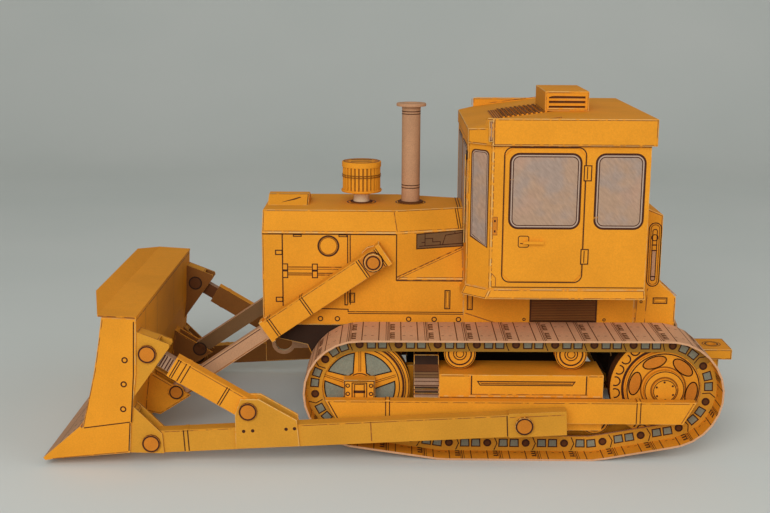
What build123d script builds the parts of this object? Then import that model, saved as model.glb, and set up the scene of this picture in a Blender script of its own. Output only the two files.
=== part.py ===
"""Card model of a crawler bulldozer, 1:32, built piece by piece.

Millimetres, +X forward, +Y the machine's left side, +Z up, tracks standing on z = 0.
Sizes along X below are given from the mid point between idler and sprocket; save() moves
every piece by MID_X so that the whole model is centred on the origin. Points are (x, z).
"""
from build123d import *
import math
import os

os.makedirs("parts", exist_ok=True)

# Fits and repeated shapes
MID_X = -34.65            # moves the wheel mid point so that the model's box is centred
CLEAR = 0.3               # gap between pieces of different bodies that pass each other
RUN = 0.05                # radial running clearance of pins and slides
SNIPS = 12                # straight snips round a small card disc
TUBE_SNIPS = 20
WHEEL_SNIPS = 24
PIN_SNIPS = 6

# Track: a shoe band with a link strip standing on each side of the wheels
WHEEL_R = 17.6            # outside radius of the shoe band round both wheels
IDLER_C = (48.4, 21.5)
SPROCKET_C = (-47.6, 21.9)
FLAT_FRONT, FLAT_REAR, FLAT_R = 22.0, -25.0, 9.0
BAND_IN, BAND_W, BAND_T = 20.1, 21.0, 0.6
BAND_OUT = BAND_IN + BAND_W
SHOES, FOLDS = 25, 3      # shoes in the loop, folds in each shoe
SCORE_W, SCORE_D = 0.35, 0.15
LINK_H = 5.6              # outside of the band to the inner edge of the links
LINK_T = 0.8
LINK_OUT = 34.3           # outer face of the outer link strip
CHAIN_Y = BAND_IN + BAND_W / 2
LINK_IN = 2 * CHAIN_Y - LINK_OUT
LINK_PIN_R, LINK_PIN_T = 1.2, 0.2
LINKS, LINK_START = 23, 8.0   # links in the loop, first link pin from the start of the ground run
SHOE_START = 8.3
WINDOW_W, WINDOW_H, WINDOW_D = 2.9, 2.5, 0.25
WINDOW_S = (3.7, 7.2)     # the two windows of a link, from its pin
LINK_MID = 3.3            # pins and windows, inside the band's outside

# Wheels and rollers between the link strips
WHEEL_Y1 = LINK_OUT - LINK_T - CLEAR
WHEEL_Y0 = LINK_IN + LINK_T + CLEAR
IDLER_R = WHEEL_R - 1.6
IDLER_HUB_R, IDLER_WINDOW_R, SPOKE_W, SPOKES = 4.6, 11.3, 3.2, 5
IDLER_AXLE_R = 2.0
SPROCKET_R = WHEEL_R - 1.0
TEETH, NOTCH_R, NOTCH_D, NOTCH_SNIPS = 24, 1.75, 0.5, 4
LOBE_R, LOBE_T = 11.6, 1.0
HUB_R, HUB_T = 6.4, 1.8
COVER_R, COVER_T = 3.85, 0.8
DRIVE_R, DRIVE_NECK_R = 15.5, 9.0
ROLLERS, ROLLER_R, ROLLER_PITCH = 6, 4.7, 10.8
ROLLER_Z = LINK_H + CLEAR + ROLLER_R
CARRIER_R, CARRIER_HUB_R, CARRIER_GAP = 5.0, 1.7, 1.5
CARRIER_Z = IDLER_C[1] + WHEEL_R - CARRIER_GAP - CARRIER_R
CARRIER_X = (16.8, -18.3)
AXLE_R = 0.8

# Roller frame
FRAME_X = (SPROCKET_C[0] + 19.6, IDLER_C[0] - 25.0)
FRAME_Z = (ROLLER_Z + ROLLER_R + CLEAR, CARRIER_Z - CARRIER_R - CLEAR)
FRAME_OUT = 38.0
CHEEK_IN, CHEEK_OUT, CHEEK_T = 23.2, 35.0, 3.0
CHEEK_FRONT = IDLER_C[0] - 15.4
FORK_H = 10.0
PANEL_X, PANEL_T = (-23.1, 13.6), 0.3
SLOT_X, SLOT_H = (-18.6, 10.6), 0.8
RECOIL_L, RECOIL_TOP, RECOIL_KNEE, RECOIL_MID_Y = 7.9, 31.5, 23.5, 31.0
RECOIL_RIB, RECOIL_RIBS = 0.5, 5
BLOCK_W, BLOCK_H = 9.8, 8.0
RAIL_W, RAIL_H, RAIL_BOTTOM = 3.2, 7.2, 12.4
RAIL_FRONT, RAIL_REAR, RAIL_SLANT = 59.0, -56.7, 3.8
RIB_X, RIB_W, RIB_T = (39.5, -38.8), 1.2, 0.25

# Body
BODY = 19.7               # half width of the hood and of the body between the tracks
HULL_Y = BODY - 0.4
CAB_FRONT, CAB_REAR = 15.2, -40.0
NECK_X, HOOD_FRONT = 37.0, 80.3
HOOD_BOTTOM, FLARE_Z, SEAM_Z, HOOD_TOP = 38.0, 53.6, 68.6, 75.2
HOOD_TOP_Y = BODY - 4.2
REAR_IN = 6.7             # how far the hood draws in towards the cab
FLARE_TOP = 62.5
CAP_L, CAP_Y, CAP_RIDGE, CAP_H = 13.5, 7.6, 2.0, 3.0
TANK_BACK, TANK_STEP = 13.5, 8.0
HULL_BOTTOM, HULL_REAR = 14.0, CAB_REAR - TANK_BACK
HULL_MID, BEAM_BOTTOM, BEAM_X = 30.0, 19.5, (43.5, 52.0)
HULL = [(HULL_REAR, HOOD_BOTTOM), (HULL_REAR, HULL_BOTTOM + 6.0), (HULL_REAR + 6.5, HULL_BOTTOM),
        (-36.5, HULL_BOTTOM), (-33.0, HULL_MID), (BEAM_X[0], HULL_MID), (BEAM_X[0], BEAM_BOTTOM),
        (61.0, BEAM_BOTTOM), (66.0, HULL_MID + 1.0), (77.0, HULL_MID + 3.5), (77.0, HOOD_BOTTOM)]
TANK = [(CAB_REAR, 78.2), (CAB_REAR - 1.5, 77.6), (CAB_REAR - TANK_STEP, 75.0),
        (CAB_REAR - TANK_STEP, 53.0), (HULL_REAR, 48.0), (HULL_REAR, HOOD_BOTTOM), (CAB_REAR, HOOD_BOTTOM)]
LOUVRE_X, LOUVRE_Z, LOUVRE_T, LOUVRES = (-28.1, -6.3), (39.4, 50.6), 0.3, 7
TOW_EYE, TOW_R, TOW_HOLE, TOW_T = (75.5, 26.0), 4.1, 2.9, 1.6
BAR_L, BAR_W, BAR_Z, BAR_T = 23.4, 13.0, 26.4, 3.6
TONGUE_L, TONGUE_W, TONGUE_T = 19.5, 9.0, 3.2
HITCH_BACK, HITCH_R = 17.9, 1.5

# Cab
FLOOR_BOTTOM, FLOOR_T, FLOOR_FLARE = 51.2, 2.8, 1.5
CAB_H, CAB_Y = 44.9, 34.5
CORNER_X, CORNER_Y = 7.2, 6.5          # the cut front corners
CAB_Z = FLOOR_BOTTOM + FLOOR_T
ROOF_Z = CAB_Z + CAB_H
ROOF_H, ROOF_OVER, ROOF_AHEAD = 8.2, 1.4, 0.2
ROOF_TOP = ROOF_Z + ROOF_H
SLOPE_L, SLOPE_DROP, PARAPET = 28.2, 3.9, 1.6
VENT_X, VENT_Y, VENT_H = (-23.9, -9.9), 13.0, 6.3
SLOTS, SLOT_PITCH, SLOT_D = 3, 1.5, 0.8
HATCH_START, HATCH_PITCH, HATCH_RIBS, HATCH_RIB_W, HATCH_RIB_H = 2.5, 1.5, 10, 0.6, 0.35
PANE_D, PANE_R, DOOR_GROOVE = 0.25, 2.0, 0.35
DOOR_X, DOOR_Z, DOOR_R = (-20.3, 4.5), (56.3, 98.3), 2.5
PANE_Z = (73.5, 96.2)
DOOR_PANE_X, REAR_PANE_X = (-18.7, 2.5), (-38.1, -23.6)
CORNER_PANE, CORNER_PANE_Z, FRONT_PANE_Y = (-3.3, 3.3), (69.5, 97.0), (1.5, 24.0)
LAMP_W, LAMP_T = 1.4, 1.1
HANDLE_X, HANDLE_Z, HANDLE_H, HANDLE_OUT = (-8.1, -1.8), 69.0, 0.9, 1.2
WIPER_Y, WIPER_Z, WIPER_W, WIPER_T = 25.5, (67.0, 95.0), 0.8, 0.8

# Exhaust and pre-cleaner on the hood
STACK_X, STACK_R, STACK_WALL, STACK_H = 32.4, 3.05, 0.5, 32.2
STACK_FLANGE_R, FLANGE_T, STACK_BASE_R = 4.9, 0.9, 4.2
DRUM_X, DRUM_R, DRUM_H, DRUM_NECK_R, DRUM_NECK_H = 48.8, 6.2, 10.6, 2.7, 3.2
DRUM_RIM, DRUM_RIM_H, DRUM_LID_H, DRUM_RIBS = 0.6, 1.2, 1.8, 20

# Push frame: arms on the pivot pins, braces, blade; places are told from the arm's tip
PIVOT = (-2.6, 13.9)
PLATE_T = 0.9             # lug and gusset plates, which pass outside the rails
ARM_IN = FRAME_OUT + RAIL_W + CLEAR + PLATE_T
ARM_W, ARM_H = 4.2, 7.1
ARM_OUT = ARM_IN + ARM_W
ARM_TIP = (112.4, 7.5)
ARM_REAR = 12.8           # arm end behind the pivot
SLEEVE_L, SLEEVE_T = 4.6, 0.3
BAND_BACK = 11.4          # a band round each arm, behind its tip
PIN_R, HEAD_R, HEAD_T = 1.6, 2.9, 1.0
CAP_HEAD_T = 0.7
BRACE_H, BRACE_L, BRACE_ROD_H, BRACE_ROD_IN = 6.8, 27.0, 4.4, 0.5
FOOT_BACK, FOOT_UP = 30.6, 8.9


def from_tip(dx, dz):
    return (ARM_TIP[0] + dx, ARM_TIP[1] + dz)


BRACE_TOP = from_tip(0.2, 28.8)
CYL_FOOT = from_tip(-4.3, 9.4)
BLADE_HALF = ARM_OUT + 1.6
BLADE_FRONT = [from_tip(13.6, 40.4), from_tip(16.5, 23.5), from_tip(21.1, 4.8)]
BLADE_BACK = [from_tip(31.6, -5.3), from_tip(6.6, -3.0), from_tip(5.9, 6.8), from_tip(3.8, 22.4),
              from_tip(3.1, 40.0)]
EDGE_TIP, EDGE_T = from_tip(33.04, -5.55), 1.0
GUARD = [from_tip(3.0, 40.0), from_tip(14.6, 40.7)]
GUARD_T, GUARD_OVER, WING_IN, WING_DX, WING_DZ = 0.6, 0.3, 17.5, 4.5, 3.0
ARM_LUG = [from_tip(*d) for d in ((6.2, 12.9), (-3.4, 3.1), (-3.8, -3.3), (7.1, -3.1), (7.1, 12.9))]
ARM_WEB = [from_tip(*d) for d in ((7.1, 12.9), (3.6, 10.1), (4.0, 9.3), (7.1, 11.5))]
BRACE_LUG = [from_tip(*d) for d in ((4.6, 36.2), (-6.4, 31.9), (-6.6, 30.9), (5.2, 14.5), (5.6, 36.2))]
BRACE_WEB = [from_tip(*d) for d in ((4.6, 36.2), (-3.4, 33.1), (-3.2, 32.3), (4.6, 35.4))]
CYL_LUG = [from_tip(*d) for d in ((6.6, 17.9), (3.4, 15.6), (-8.8, 8.1), (1.2, 1.7), (7.1, 3.0))]
CYL_WEB = [from_tip(*d) for d in ((6.6, 17.9), (3.5, 15.6), (3.7, 2.5), (7.1, 3.0))]
GUSSET = [from_tip(*d) for d in ((-33.4, 14.5), (-27.8, 14.5), (-26.0, 9.5), (-26.0, -1.7), (-45.8, -0.7),
                                 (-45.0, 7.8))]

# Lift cylinders
BARREL_L, BARREL_H, BARREL_W = 41.9, 6.8, 4.8
BARREL_BACK, COLLAR_L, COLLAR_T = 4.0, 1.4, 0.5
CYL_Y = BODY + 1.4 + BARREL_W / 2
CYL_TOP = (44.4, 60.4)
BOSS_R = 4.2
ROD_H, ROD_W = 4.8, 3.4
ROD_IN, BORE_END = 12.0, 6.0          # rod inside the barrel as parked, and the bore's inner end
EYE_R, EYE_PLAY = 1.3, 0.45           # pin through the rod's eye, and the eye's play round it
EYE_HEAD_R = 2.5


def save(name, *shapes):
    """Write one node; several separate solids may share it."""
    solids = []
    for shape in shapes:
        solids += list(shape.solids())
    body = solids[0] if len(solids) == 1 else Compound(children=solids)
    export_step(Pos(MID_X, 0, 0) * body, f"parts/{name}.step")


def plate(sketch, y0, y1):
    """A sketch drawn in X and Z, given thickness from y0 to y1."""
    return extrude(Plane.XZ.offset(-y1) * sketch, amount=y1 - y0)


def outline(points):
    return make_face(Polyline(*points, close=True))


def prism(points, y0, y1):
    return plate(outline(points), y0, y1)


def block(x0, x1, y0, y1, z0, z1):
    return Pos((x0 + x1) / 2, (y0 + y1) / 2, (z0 + z1) / 2) * Box(abs(x1 - x0), abs(y1 - y0), abs(z1 - z0))


def disc(centre, radius, y0, y1, snips=0):
    """A round disc, or one cut with straight snips."""
    shape = RegularPolygon(radius, snips) if snips else Circle(radius)
    return plate(Pos(*centre) * shape, y0, y1)


def pair(shape):
    """The piece and its mirror image on the other side of the model."""
    return [shape, mirror(shape, about=Plane.XZ)]


def polyhedron(points, faces):
    return Solid(Shell([Face(Wire.make_polygon([Vector(*points[i]) for i in f])) for f in faces]))


def along(a, b):
    """Length and slope in degrees of the line from a to b in X and Z."""
    return math.dist(a, b), math.degrees(math.atan2(b[1] - a[1], b[0] - a[0]))


def strut(a, b, s0, s1, height, y0, y1):
    """A square strut on the line a to b, from s0 to s1 along it."""
    _, slope = along(a, b)
    return plate(Pos(*a) * Rot(0, 0, slope) * Pos((s0 + s1) / 2, 0) * Rectangle(s1 - s0, height), y0, y1)


def pane(x, z, corner):
    """A window or door shape with its corners taken off, drawn in X and Z."""
    shape = Rectangle(x[1] - x[0], z[1] - z[0])
    return Pos(sum(x) / 2, sum(z) / 2) * chamfer(shape.vertices(), corner)


# Tracks: the shoe band is folded flat between its scores, so the loop is a polygon
def round_wheels(depth):
    """The tight line round wheels and ground run, depth inside the band; it starts the ground run."""
    turns = ((IDLER_C, WHEEL_R), (SPROCKET_C, WHEEL_R), ((FLAT_FRONT, FLAT_R), FLAT_R),
             ((FLAT_REAR, FLAT_R), FLAT_R))
    rounds = [Pos(*centre) * Circle(radius - depth) for centre, radius in turns]
    return make_hull([e for r in rounds for e in r.edges()]).wire()


shoe_line, pin_line = round_wheels(0), round_wheels(LINK_MID)
PITCH, LINK_PITCH = shoe_line.length / SHOES, pin_line.length / LINKS


def on_line(line, s):
    """A place s along the line, forward on the ground run."""
    u = (s / line.length) % 1
    p, t = line.position_at(u), line.tangent_at(u)
    return Pos(p.X, p.Y) * Rot(0, 0, math.degrees(math.atan2(t.Y, t.X)))


def folded_loop():
    points = [on_line(shoe_line, SHOE_START + i * PITCH / FOLDS).position for i in range(SHOES * FOLDS)]
    before, after = points[-1:] + points[:-1], points[1:] + points[:1]
    return outline([b for a, b, c in zip(before, points, after) if (b - a).get_angle(c - b) > 0.1])


loop = folded_loop()


def inner(depth):
    return offset(loop, -depth, kind=Kind.INTERSECTION)


def make_track():
    strip = inner(BAND_T / 2) - inner(LINK_H)
    track = plate(loop - inner(BAND_T), BAND_IN, BAND_OUT)
    track += plate(strip, LINK_OUT - LINK_T, LINK_OUT) + plate(strip, LINK_IN, LINK_IN + LINK_T)
    score, window = Rectangle(SCORE_W, 2 * SCORE_D), Rectangle(WINDOW_W, WINDOW_H)
    pane_y = (LINK_OUT - WINDOW_D, LINK_OUT + 1)
    cuts, pins = [], []
    for i in range(SHOES):
        fold = on_line(shoe_line, SHOE_START + (i - 1 / FOLDS) * PITCH)
        cuts.append(plate(fold * score, BAND_IN - 1, BAND_OUT + 1))
    for i in range(LINKS):
        at = LINK_START + i * LINK_PITCH
        cuts += [plate(on_line(pin_line, at + s) * window, *pane_y) for s in WINDOW_S]
        pins.append(plate(on_line(pin_line, at) * RegularPolygon(LINK_PIN_R, PIN_SNIPS),
                          LINK_OUT - LINK_T / 2, LINK_OUT + LINK_PIN_T))
    return track - cuts + pins


track = make_track()
save("track_left", track)
save("track_right", mirror(track, about=Plane.XZ))


# Idler with five spokes standing between shallow windows
def make_idler():
    wheel = disc(IDLER_C, IDLER_R, WHEEL_Y0, WHEEL_Y1, WHEEL_SNIPS)
    window = RegularPolygon(IDLER_WINDOW_R, WHEEL_SNIPS) - RegularPolygon(IDLER_HUB_R, SNIPS)
    spoke = Pos(IDLER_R / 2, 0) * Rectangle(IDLER_R, SPOKE_W)
    for i in range(SPOKES):
        window -= Rot(0, 0, 90 + 360 / SPOKES * i) * spoke
    axle = disc(IDLER_C, IDLER_AXLE_R, CHEEK_IN + CHEEK_T, WHEEL_Y0 + RUN, SNIPS)
    return wheel - plate(Pos(*IDLER_C) * window, WHEEL_Y1 - WINDOW_D, WHEEL_Y1 + 1) + axle


save("idlers", *pair(make_idler()))


def make_bearing():
    x, z = IDLER_C[0], FRAME_Z[0] + 5.6
    half_w, half_h = BLOCK_W / 2, BLOCK_H / 2
    bearing = block(x - half_w, x + half_w, WHEEL_Y1, FRAME_OUT, z - half_h, z + half_h)
    return bearing - block(x - 2, x + 2, FRAME_OUT - 0.4, FRAME_OUT + 1, z - 2.6, z + 2.8)


save("idler_blocks", *pair(make_bearing()))


# Sprocket, its lobed disc, hub and cover in steps
def make_sprocket():
    wheel = Pos(*SPROCKET_C) * RegularPolygon(SPROCKET_R, TEETH)
    notch = Pos(SPROCKET_R, 0) * RegularPolygon(NOTCH_R, NOTCH_SNIPS)
    notches = [Pos(*SPROCKET_C) * Rot(0, 0, 360 / TEETH * (i + 0.5)) * notch for i in range(TEETH)]
    sprocket = plate(wheel, WHEEL_Y0, WHEEL_Y1 - NOTCH_D) + plate(wheel - notches, WHEEL_Y0 + 1, WHEEL_Y1)
    y = WHEEL_Y1
    for radius, thick in ((LOBE_R, LOBE_T), (HUB_R, HUB_T), (COVER_R, COVER_T)):
        sprocket += disc(SPROCKET_C, radius, y - RUN, y + thick, TUBE_SNIPS)
        y += thick
    return sprocket


save("sprockets", *pair(make_sprocket()))
drive = disc(SPROCKET_C, DRIVE_R, HULL_Y, CHEEK_IN + CHEEK_T, TUBE_SNIPS)
drive += disc(SPROCKET_C, DRIVE_NECK_R, CHEEK_IN + CHEEK_T - RUN, WHEEL_Y0, SNIPS)
save("final_drives", *pair(drive))


# Roller frame: box, roller cheeks, idler fork and carrier posts
def make_frame():
    x0, x1 = FRAME_X
    inside = (CHEEK_IN, CHEEK_IN + CHEEK_T)
    frame = block(x0, x1, CHEEK_IN, FRAME_OUT, *FRAME_Z)
    frame += block(x0, CHEEK_FRONT, *inside, ROLLER_Z - 3.1, FRAME_Z[0] + 1)
    frame += block(x0, CHEEK_FRONT, CHEEK_OUT, FRAME_OUT, ROLLER_Z - 1.6, FRAME_Z[0] + 1)
    frame += block(x1 - 1, IDLER_C[0] + 3.6, *inside, IDLER_C[1] - FORK_H / 2, IDLER_C[1] + FORK_H / 2)
    for x in CARRIER_X:
        frame += block(x - 2.5, x + 2.5, *inside, FRAME_Z[1] - 1, CARRIER_Z + 1.4)
    panel_z = (FRAME_Z[0] + 5.0, FRAME_Z[1])
    frame += block(*PANEL_X, FRAME_OUT - 1, FRAME_OUT + PANEL_T, *panel_z)
    slot_z = (sum(panel_z) - SLOT_H) / 2 + 1
    return frame - block(*SLOT_X, FRAME_OUT, FRAME_OUT + 1, slot_z, slot_z + SLOT_H)


save("roller_frames", *pair(make_frame()))

rollers = []
for i in range(ROLLERS):
    at = (FRAME_X[0] + 1.3 + ROLLER_PITCH * i, ROLLER_Z)
    rollers.append(disc(at, ROLLER_R, WHEEL_Y0, WHEEL_Y1, SNIPS)
                   + disc(at, AXLE_R, CHEEK_IN + CHEEK_T, CHEEK_OUT, PIN_SNIPS))
for x in CARRIER_X:
    at = (x, CARRIER_Z)
    rollers.append(disc(at, CARRIER_R, WHEEL_Y0, WHEEL_Y1, SNIPS)
                   + disc(at, AXLE_R, CHEEK_IN + CHEEK_T, WHEEL_Y0 + 1, PIN_SNIPS)
                   + disc(at, CARRIER_HUB_R, WHEEL_Y1 - RUN, WHEEL_Y1 + CLEAR / 2, SNIPS))
save("rollers", *[p for r in rollers for p in pair(r)])


# Recoil block in front of the frame: folded ribs below, sloping back over the spring
def make_recoil():
    inside, bottom, outside = CHEEK_IN + CHEEK_T, FRAME_Z[0] + 1, FRAME_OUT - 0.5
    pitch = (RECOIL_KNEE - bottom) / RECOIL_RIBS
    ribs = []
    for i in range(RECOIL_RIBS):
        ribs += [(outside, bottom + pitch * i), (outside - RECOIL_RIB, bottom + pitch * (i + 0.5))]
    section = [(inside, bottom)] + ribs
    section += [(outside, RECOIL_KNEE), (RECOIL_MID_Y, RECOIL_TOP), (inside, RECOIL_TOP)]
    return extrude(Pos(FRAME_X[1], 0, 0) * (Plane.YZ * outline(section)), amount=RECOIL_L)


save("recoil_blocks", *pair(make_recoil()))


# Outer rail with slanted ends and two bands round it
def make_rail():
    top, low = RAIL_BOTTOM + RAIL_H, RAIL_BOTTOM
    side = [(RAIL_FRONT, top), (RAIL_FRONT - RAIL_SLANT, low)]
    side += [(RAIL_REAR + RAIL_SLANT, low), (RAIL_REAR, top)]
    rail = prism(side, FRAME_OUT, FRAME_OUT + RAIL_W)
    for x in RIB_X:
        rail += block(x - RIB_W / 2, x + RIB_W / 2, FRAME_OUT, FRAME_OUT + RAIL_W, top - 1, top + RIB_T)
    return rail


save("frame_rails", *pair(make_rail()))


# Hood: straight front box and a rear part that draws in above a flared fold
def make_hood():
    section = [(BODY, HOOD_BOTTOM), (BODY, SEAM_Z), (HOOD_TOP_Y, HOOD_TOP), (-HOOD_TOP_Y, HOOD_TOP),
               (-BODY, SEAM_Z), (-BODY, HOOD_BOTTOM)]
    front = extrude(Pos(NECK_X, 0, 0) * (Plane.YZ * outline(section)), amount=HOOD_FRONT - NECK_X)
    rear = block(CAB_FRONT, NECK_X, -BODY, BODY, HOOD_BOTTOM, FLARE_Z)
    side = [(NECK_X, BODY, FLARE_Z), (NECK_X, BODY, SEAM_Z), (NECK_X, HOOD_TOP_Y, HOOD_TOP),
            (CAB_FRONT, BODY, FLARE_Z), (CAB_FRONT, BODY - REAR_IN, FLARE_TOP),
            (CAB_FRONT, BODY - REAR_IN, SEAM_Z), (CAB_FRONT, HOOD_TOP_Y - REAR_IN, HOOD_TOP)]
    pts = side + [(x, -y, z) for x, y, z in side]
    faces = [(0, 1, 2, 9, 8, 7), (3, 4, 5, 6, 13, 12, 11, 10), (0, 3, 10, 7), (2, 6, 13, 9)]
    for k in (0, 7):
        faces += [(0 + k, 4 + k, 3 + k), (0 + k, 1 + k, 5 + k, 4 + k), (1 + k, 2 + k, 6 + k, 5 + k)]
    return front + rear + polyhedron(pts, faces)


save("hood", make_hood())
ridge = HOOD_TOP + CAP_H
gable = outline([(CAP_Y, HOOD_TOP), (CAP_RIDGE, ridge), (-CAP_RIDGE, ridge), (-CAP_Y, HOOD_TOP)])
save("hood_cap", extrude(Pos(HOOD_FRONT - 0.7 - CAP_L, 0, 0) * (Plane.YZ * gable), amount=CAP_L))

# Hull between the tracks, open under its middle, with the beam that carries the idler forks
beam = block(*BEAM_X, -CHEEK_IN, CHEEK_IN, BEAM_BOTTOM, IDLER_C[1] + FORK_H / 2)
save("hull", prism(HULL, -HULL_Y, HULL_Y) + beam)


def make_tow_hook():
    x, z = TOW_EYE
    shank = [(x - 13, z - 1.6), (x - 13, z + 2.8), (x - 1, z + 3.2), (x - 1, z - 2)]
    tow = disc(TOW_EYE, TOW_R, -TOW_T / 2, TOW_T / 2, TUBE_SNIPS) + prism(shank, -TOW_T / 2, TOW_T / 2)
    return tow - disc(TOW_EYE, TOW_HOLE, -TOW_T, TOW_T, SNIPS) - prism(HULL, -TOW_T, TOW_T)


save("tow_hook", make_tow_hook())


# Body under the cab, louvre panels, rear tank, drawbar
save("lower_body", block(CAB_REAR, CAB_FRONT, -BODY, BODY, HOOD_BOTTOM, FLOOR_BOTTOM))


def make_louvre():
    panel = block(*LOUVRE_X, BODY, BODY + LOUVRE_T, *LOUVRE_Z)
    pitch = (LOUVRE_Z[1] - LOUVRE_Z[0]) / LOUVRES
    for i in range(LOUVRES):
        z = LOUVRE_Z[0] + pitch * (i + 0.5)
        panel -= block(LOUVRE_X[0] + 0.8, LOUVRE_X[1] - 0.8, BODY + LOUVRE_T / 2, BODY + 1,
                       z - 0.25, z + 0.25)
    return panel


save("louvre_panels", *pair(make_louvre()))
save("rear_tank", prism(TANK, -BODY, BODY))

bar_low = BAR_Z - BAR_T
bar = block(HULL_REAR, HULL_REAR - BAR_L, -BAR_W / 2, BAR_W / 2, bar_low, BAR_Z)
bar += block(HULL_REAR, HULL_REAR - TONGUE_L, -TONGUE_W / 2, TONGUE_W / 2, bar_low - TONGUE_T, bar_low)
bar -= Pos(HULL_REAR - HITCH_BACK, 0, BAR_Z) * Cylinder(HITCH_R, 2 * (BAR_T + TONGUE_T + 1))
save("drawbar", bar)


# Cab on its flared floor, with shallow panes and the door's groove
def cab_outline(rear=0.0, front=0.0, side=0.0):
    x0, x1, x2 = CAB_REAR - rear, CAB_FRONT - CORNER_X + front, CAB_FRONT + front
    half = [(x0, CAB_Y + side), (x1, CAB_Y + side), (x2, CAB_Y - CORNER_Y + side)]
    return outline(half + [(x, -y) for x, y in reversed(half)])


def make_cab():
    cab = extrude(Pos(0, 0, CAB_Z) * cab_outline(), amount=CAB_H)
    door = pane(DOOR_X, DOOR_Z, DOOR_R)
    marks = [door - offset(door, -DOOR_GROOVE)]
    marks += [pane(x, PANE_Z, PANE_R) for x in (DOOR_PANE_X, REAR_PANE_X)]
    cuts = [plate(m, CAB_Y - PANE_D, CAB_Y + 1) for m in marks]
    corner = Plane(origin=(CAB_FRONT - CORNER_X / 2, CAB_Y - CORNER_Y / 2, 0),
                   x_dir=(-CORNER_X, CORNER_Y, 0), z_dir=(CORNER_Y, CORNER_X, 0))
    ahead = Plane.YZ.offset(CAB_FRONT)
    for wall, x, edge in ((corner, CORNER_PANE, PANE_R / 2), (ahead, FRONT_PANE_Y, PANE_R)):
        cuts.append(extrude(wall.offset(-PANE_D) * pane(x, CORNER_PANE_Z, edge), amount=1))
    return cab - [c for cut in cuts for c in pair(cut)]


save("cab", make_cab())
wide = cab_outline(0, FLOOR_FLARE, FLOOR_FLARE)
floor = loft([Pos(0, 0, FLOOR_BOTTOM) * wide, Pos(0, 0, CAB_Z) * cab_outline()], ruled=True)
save("cab_floor", floor - block(CAB_FRONT, NECK_X, -BODY, BODY, HOOD_BOTTOM, CAB_Z + 1))


def make_roof():
    front, side = CAB_FRONT + ROOF_AHEAD, CAB_Y + ROOF_OVER
    roof = extrude(Pos(0, 0, ROOF_Z) * cab_outline(ROOF_OVER, ROOF_AHEAD, ROOF_OVER), amount=ROOF_H)
    start, low = front - SLOPE_L, ROOF_TOP - SLOPE_DROP
    slope = prism([(start, ROOF_TOP), (front + 1, low), (front + 1, ROOF_TOP + 1), (start, ROOF_TOP + 1)],
                  PARAPET - side, side - PARAPET)
    ribs = []
    _, fall = along((start, ROOF_TOP), (front + 1, low))
    for i in range(HATCH_RIBS):
        at = Pos(start, ROOF_TOP) * Rot(0, 0, fall) * Pos(HATCH_START + HATCH_PITCH * i, 0)
        ribs.append(plate(at * Rectangle(HATCH_RIB_W, 2 * HATCH_RIB_H), -VENT_Y, VENT_Y))
    return roof - slope + ribs


save("cab_roof", make_roof())


def make_vent():
    vent = block(*VENT_X, -VENT_Y, VENT_Y, ROOF_TOP, ROOF_TOP + VENT_H)
    for i in range(SLOTS):
        z = ROOF_TOP + 1 + SLOT_PITCH * i
        slot = block(VENT_X[0] + 1.2, VENT_X[1] - 1.2, VENT_Y - SLOT_D, VENT_Y + 1, z, z + SLOT_PITCH / 2)
        vent -= pair(slot)
    return vent


save("roof_vent", make_vent())

side = CAB_Y + ROOF_OVER
lamp_x = CAB_FRONT - CORNER_X + ROOF_AHEAD
lamp = block(lamp_x, lamp_x + LAMP_W, side, side + LAMP_T, ROOF_Z + 1.3, ROOF_TOP - 0.5)
save("corner_lamps", *pair(lamp))

handle_z = (HANDLE_Z - HANDLE_H / 2, HANDLE_Z + HANDLE_H / 2)
handle = block(*HANDLE_X, CAB_Y + HANDLE_OUT - 0.4, CAB_Y + HANDLE_OUT, *handle_z)
for x in (HANDLE_X[0] + 0.6, HANDLE_X[1] - 0.6):
    handle += block(x - 0.4, x + 0.4, CAB_Y, CAB_Y + HANDLE_OUT - 0.2, HANDLE_Z - 0.3, HANDLE_Z + 0.3)
save("door_handles", *pair(handle))

arm = block(CAB_FRONT, CAB_FRONT + WIPER_T, WIPER_Y, WIPER_Y + WIPER_W, *WIPER_Z)
foot = block(CAB_FRONT, CAB_FRONT + WIPER_T / 2, WIPER_Y - 1, WIPER_Y + WIPER_W + 1,
             WIPER_Z[1] - 1.5, WIPER_Z[1] + 1)
save("wiper", arm + foot)


# Exhaust: rolled tube with a flange and a base disc
def make_exhaust():
    tube = extrude(RegularPolygon(STACK_R, TUBE_SNIPS), amount=STACK_H)
    tube += extrude(RegularPolygon(STACK_BASE_R, TUBE_SNIPS), amount=0.6)
    tube += Pos(0, 0, STACK_H - RUN) * extrude(RegularPolygon(STACK_FLANGE_R, TUBE_SNIPS), amount=FLANGE_T)
    tube -= Pos(0, 0, 2) * extrude(RegularPolygon(STACK_R - STACK_WALL, TUBE_SNIPS), amount=STACK_H)
    return Pos(STACK_X, 0, HOOD_TOP) * tube


save("exhaust", make_exhaust())


# Pre-cleaner: fluted drum with a rim, on a narrow neck
def make_drum():
    star = RegularPolygon(DRUM_R, DRUM_RIBS)
    drum = extrude(star + Rot(0, 0, 180 / DRUM_RIBS) * star, amount=DRUM_H)
    drum += extrude(RegularPolygon(DRUM_R + DRUM_RIM, TUBE_SNIPS), amount=DRUM_RIM_H)
    lid = extrude(RegularPolygon(DRUM_R + DRUM_RIM / 2, TUBE_SNIPS), amount=DRUM_LID_H)
    drum += Pos(0, 0, DRUM_H - DRUM_LID_H) * lid
    return Pos(DRUM_X, 0, HOOD_TOP + DRUM_NECK_H) * drum


save("precleaner", make_drum())
neck = extrude(RegularPolygon(DRUM_NECK_R, SNIPS), amount=DRUM_NECK_H)
neck += extrude(RegularPolygon(DRUM_NECK_R + 1, SNIPS), amount=0.4)
save("precleaner_neck", Pos(DRUM_X, 0, HOOD_TOP) * neck)


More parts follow.
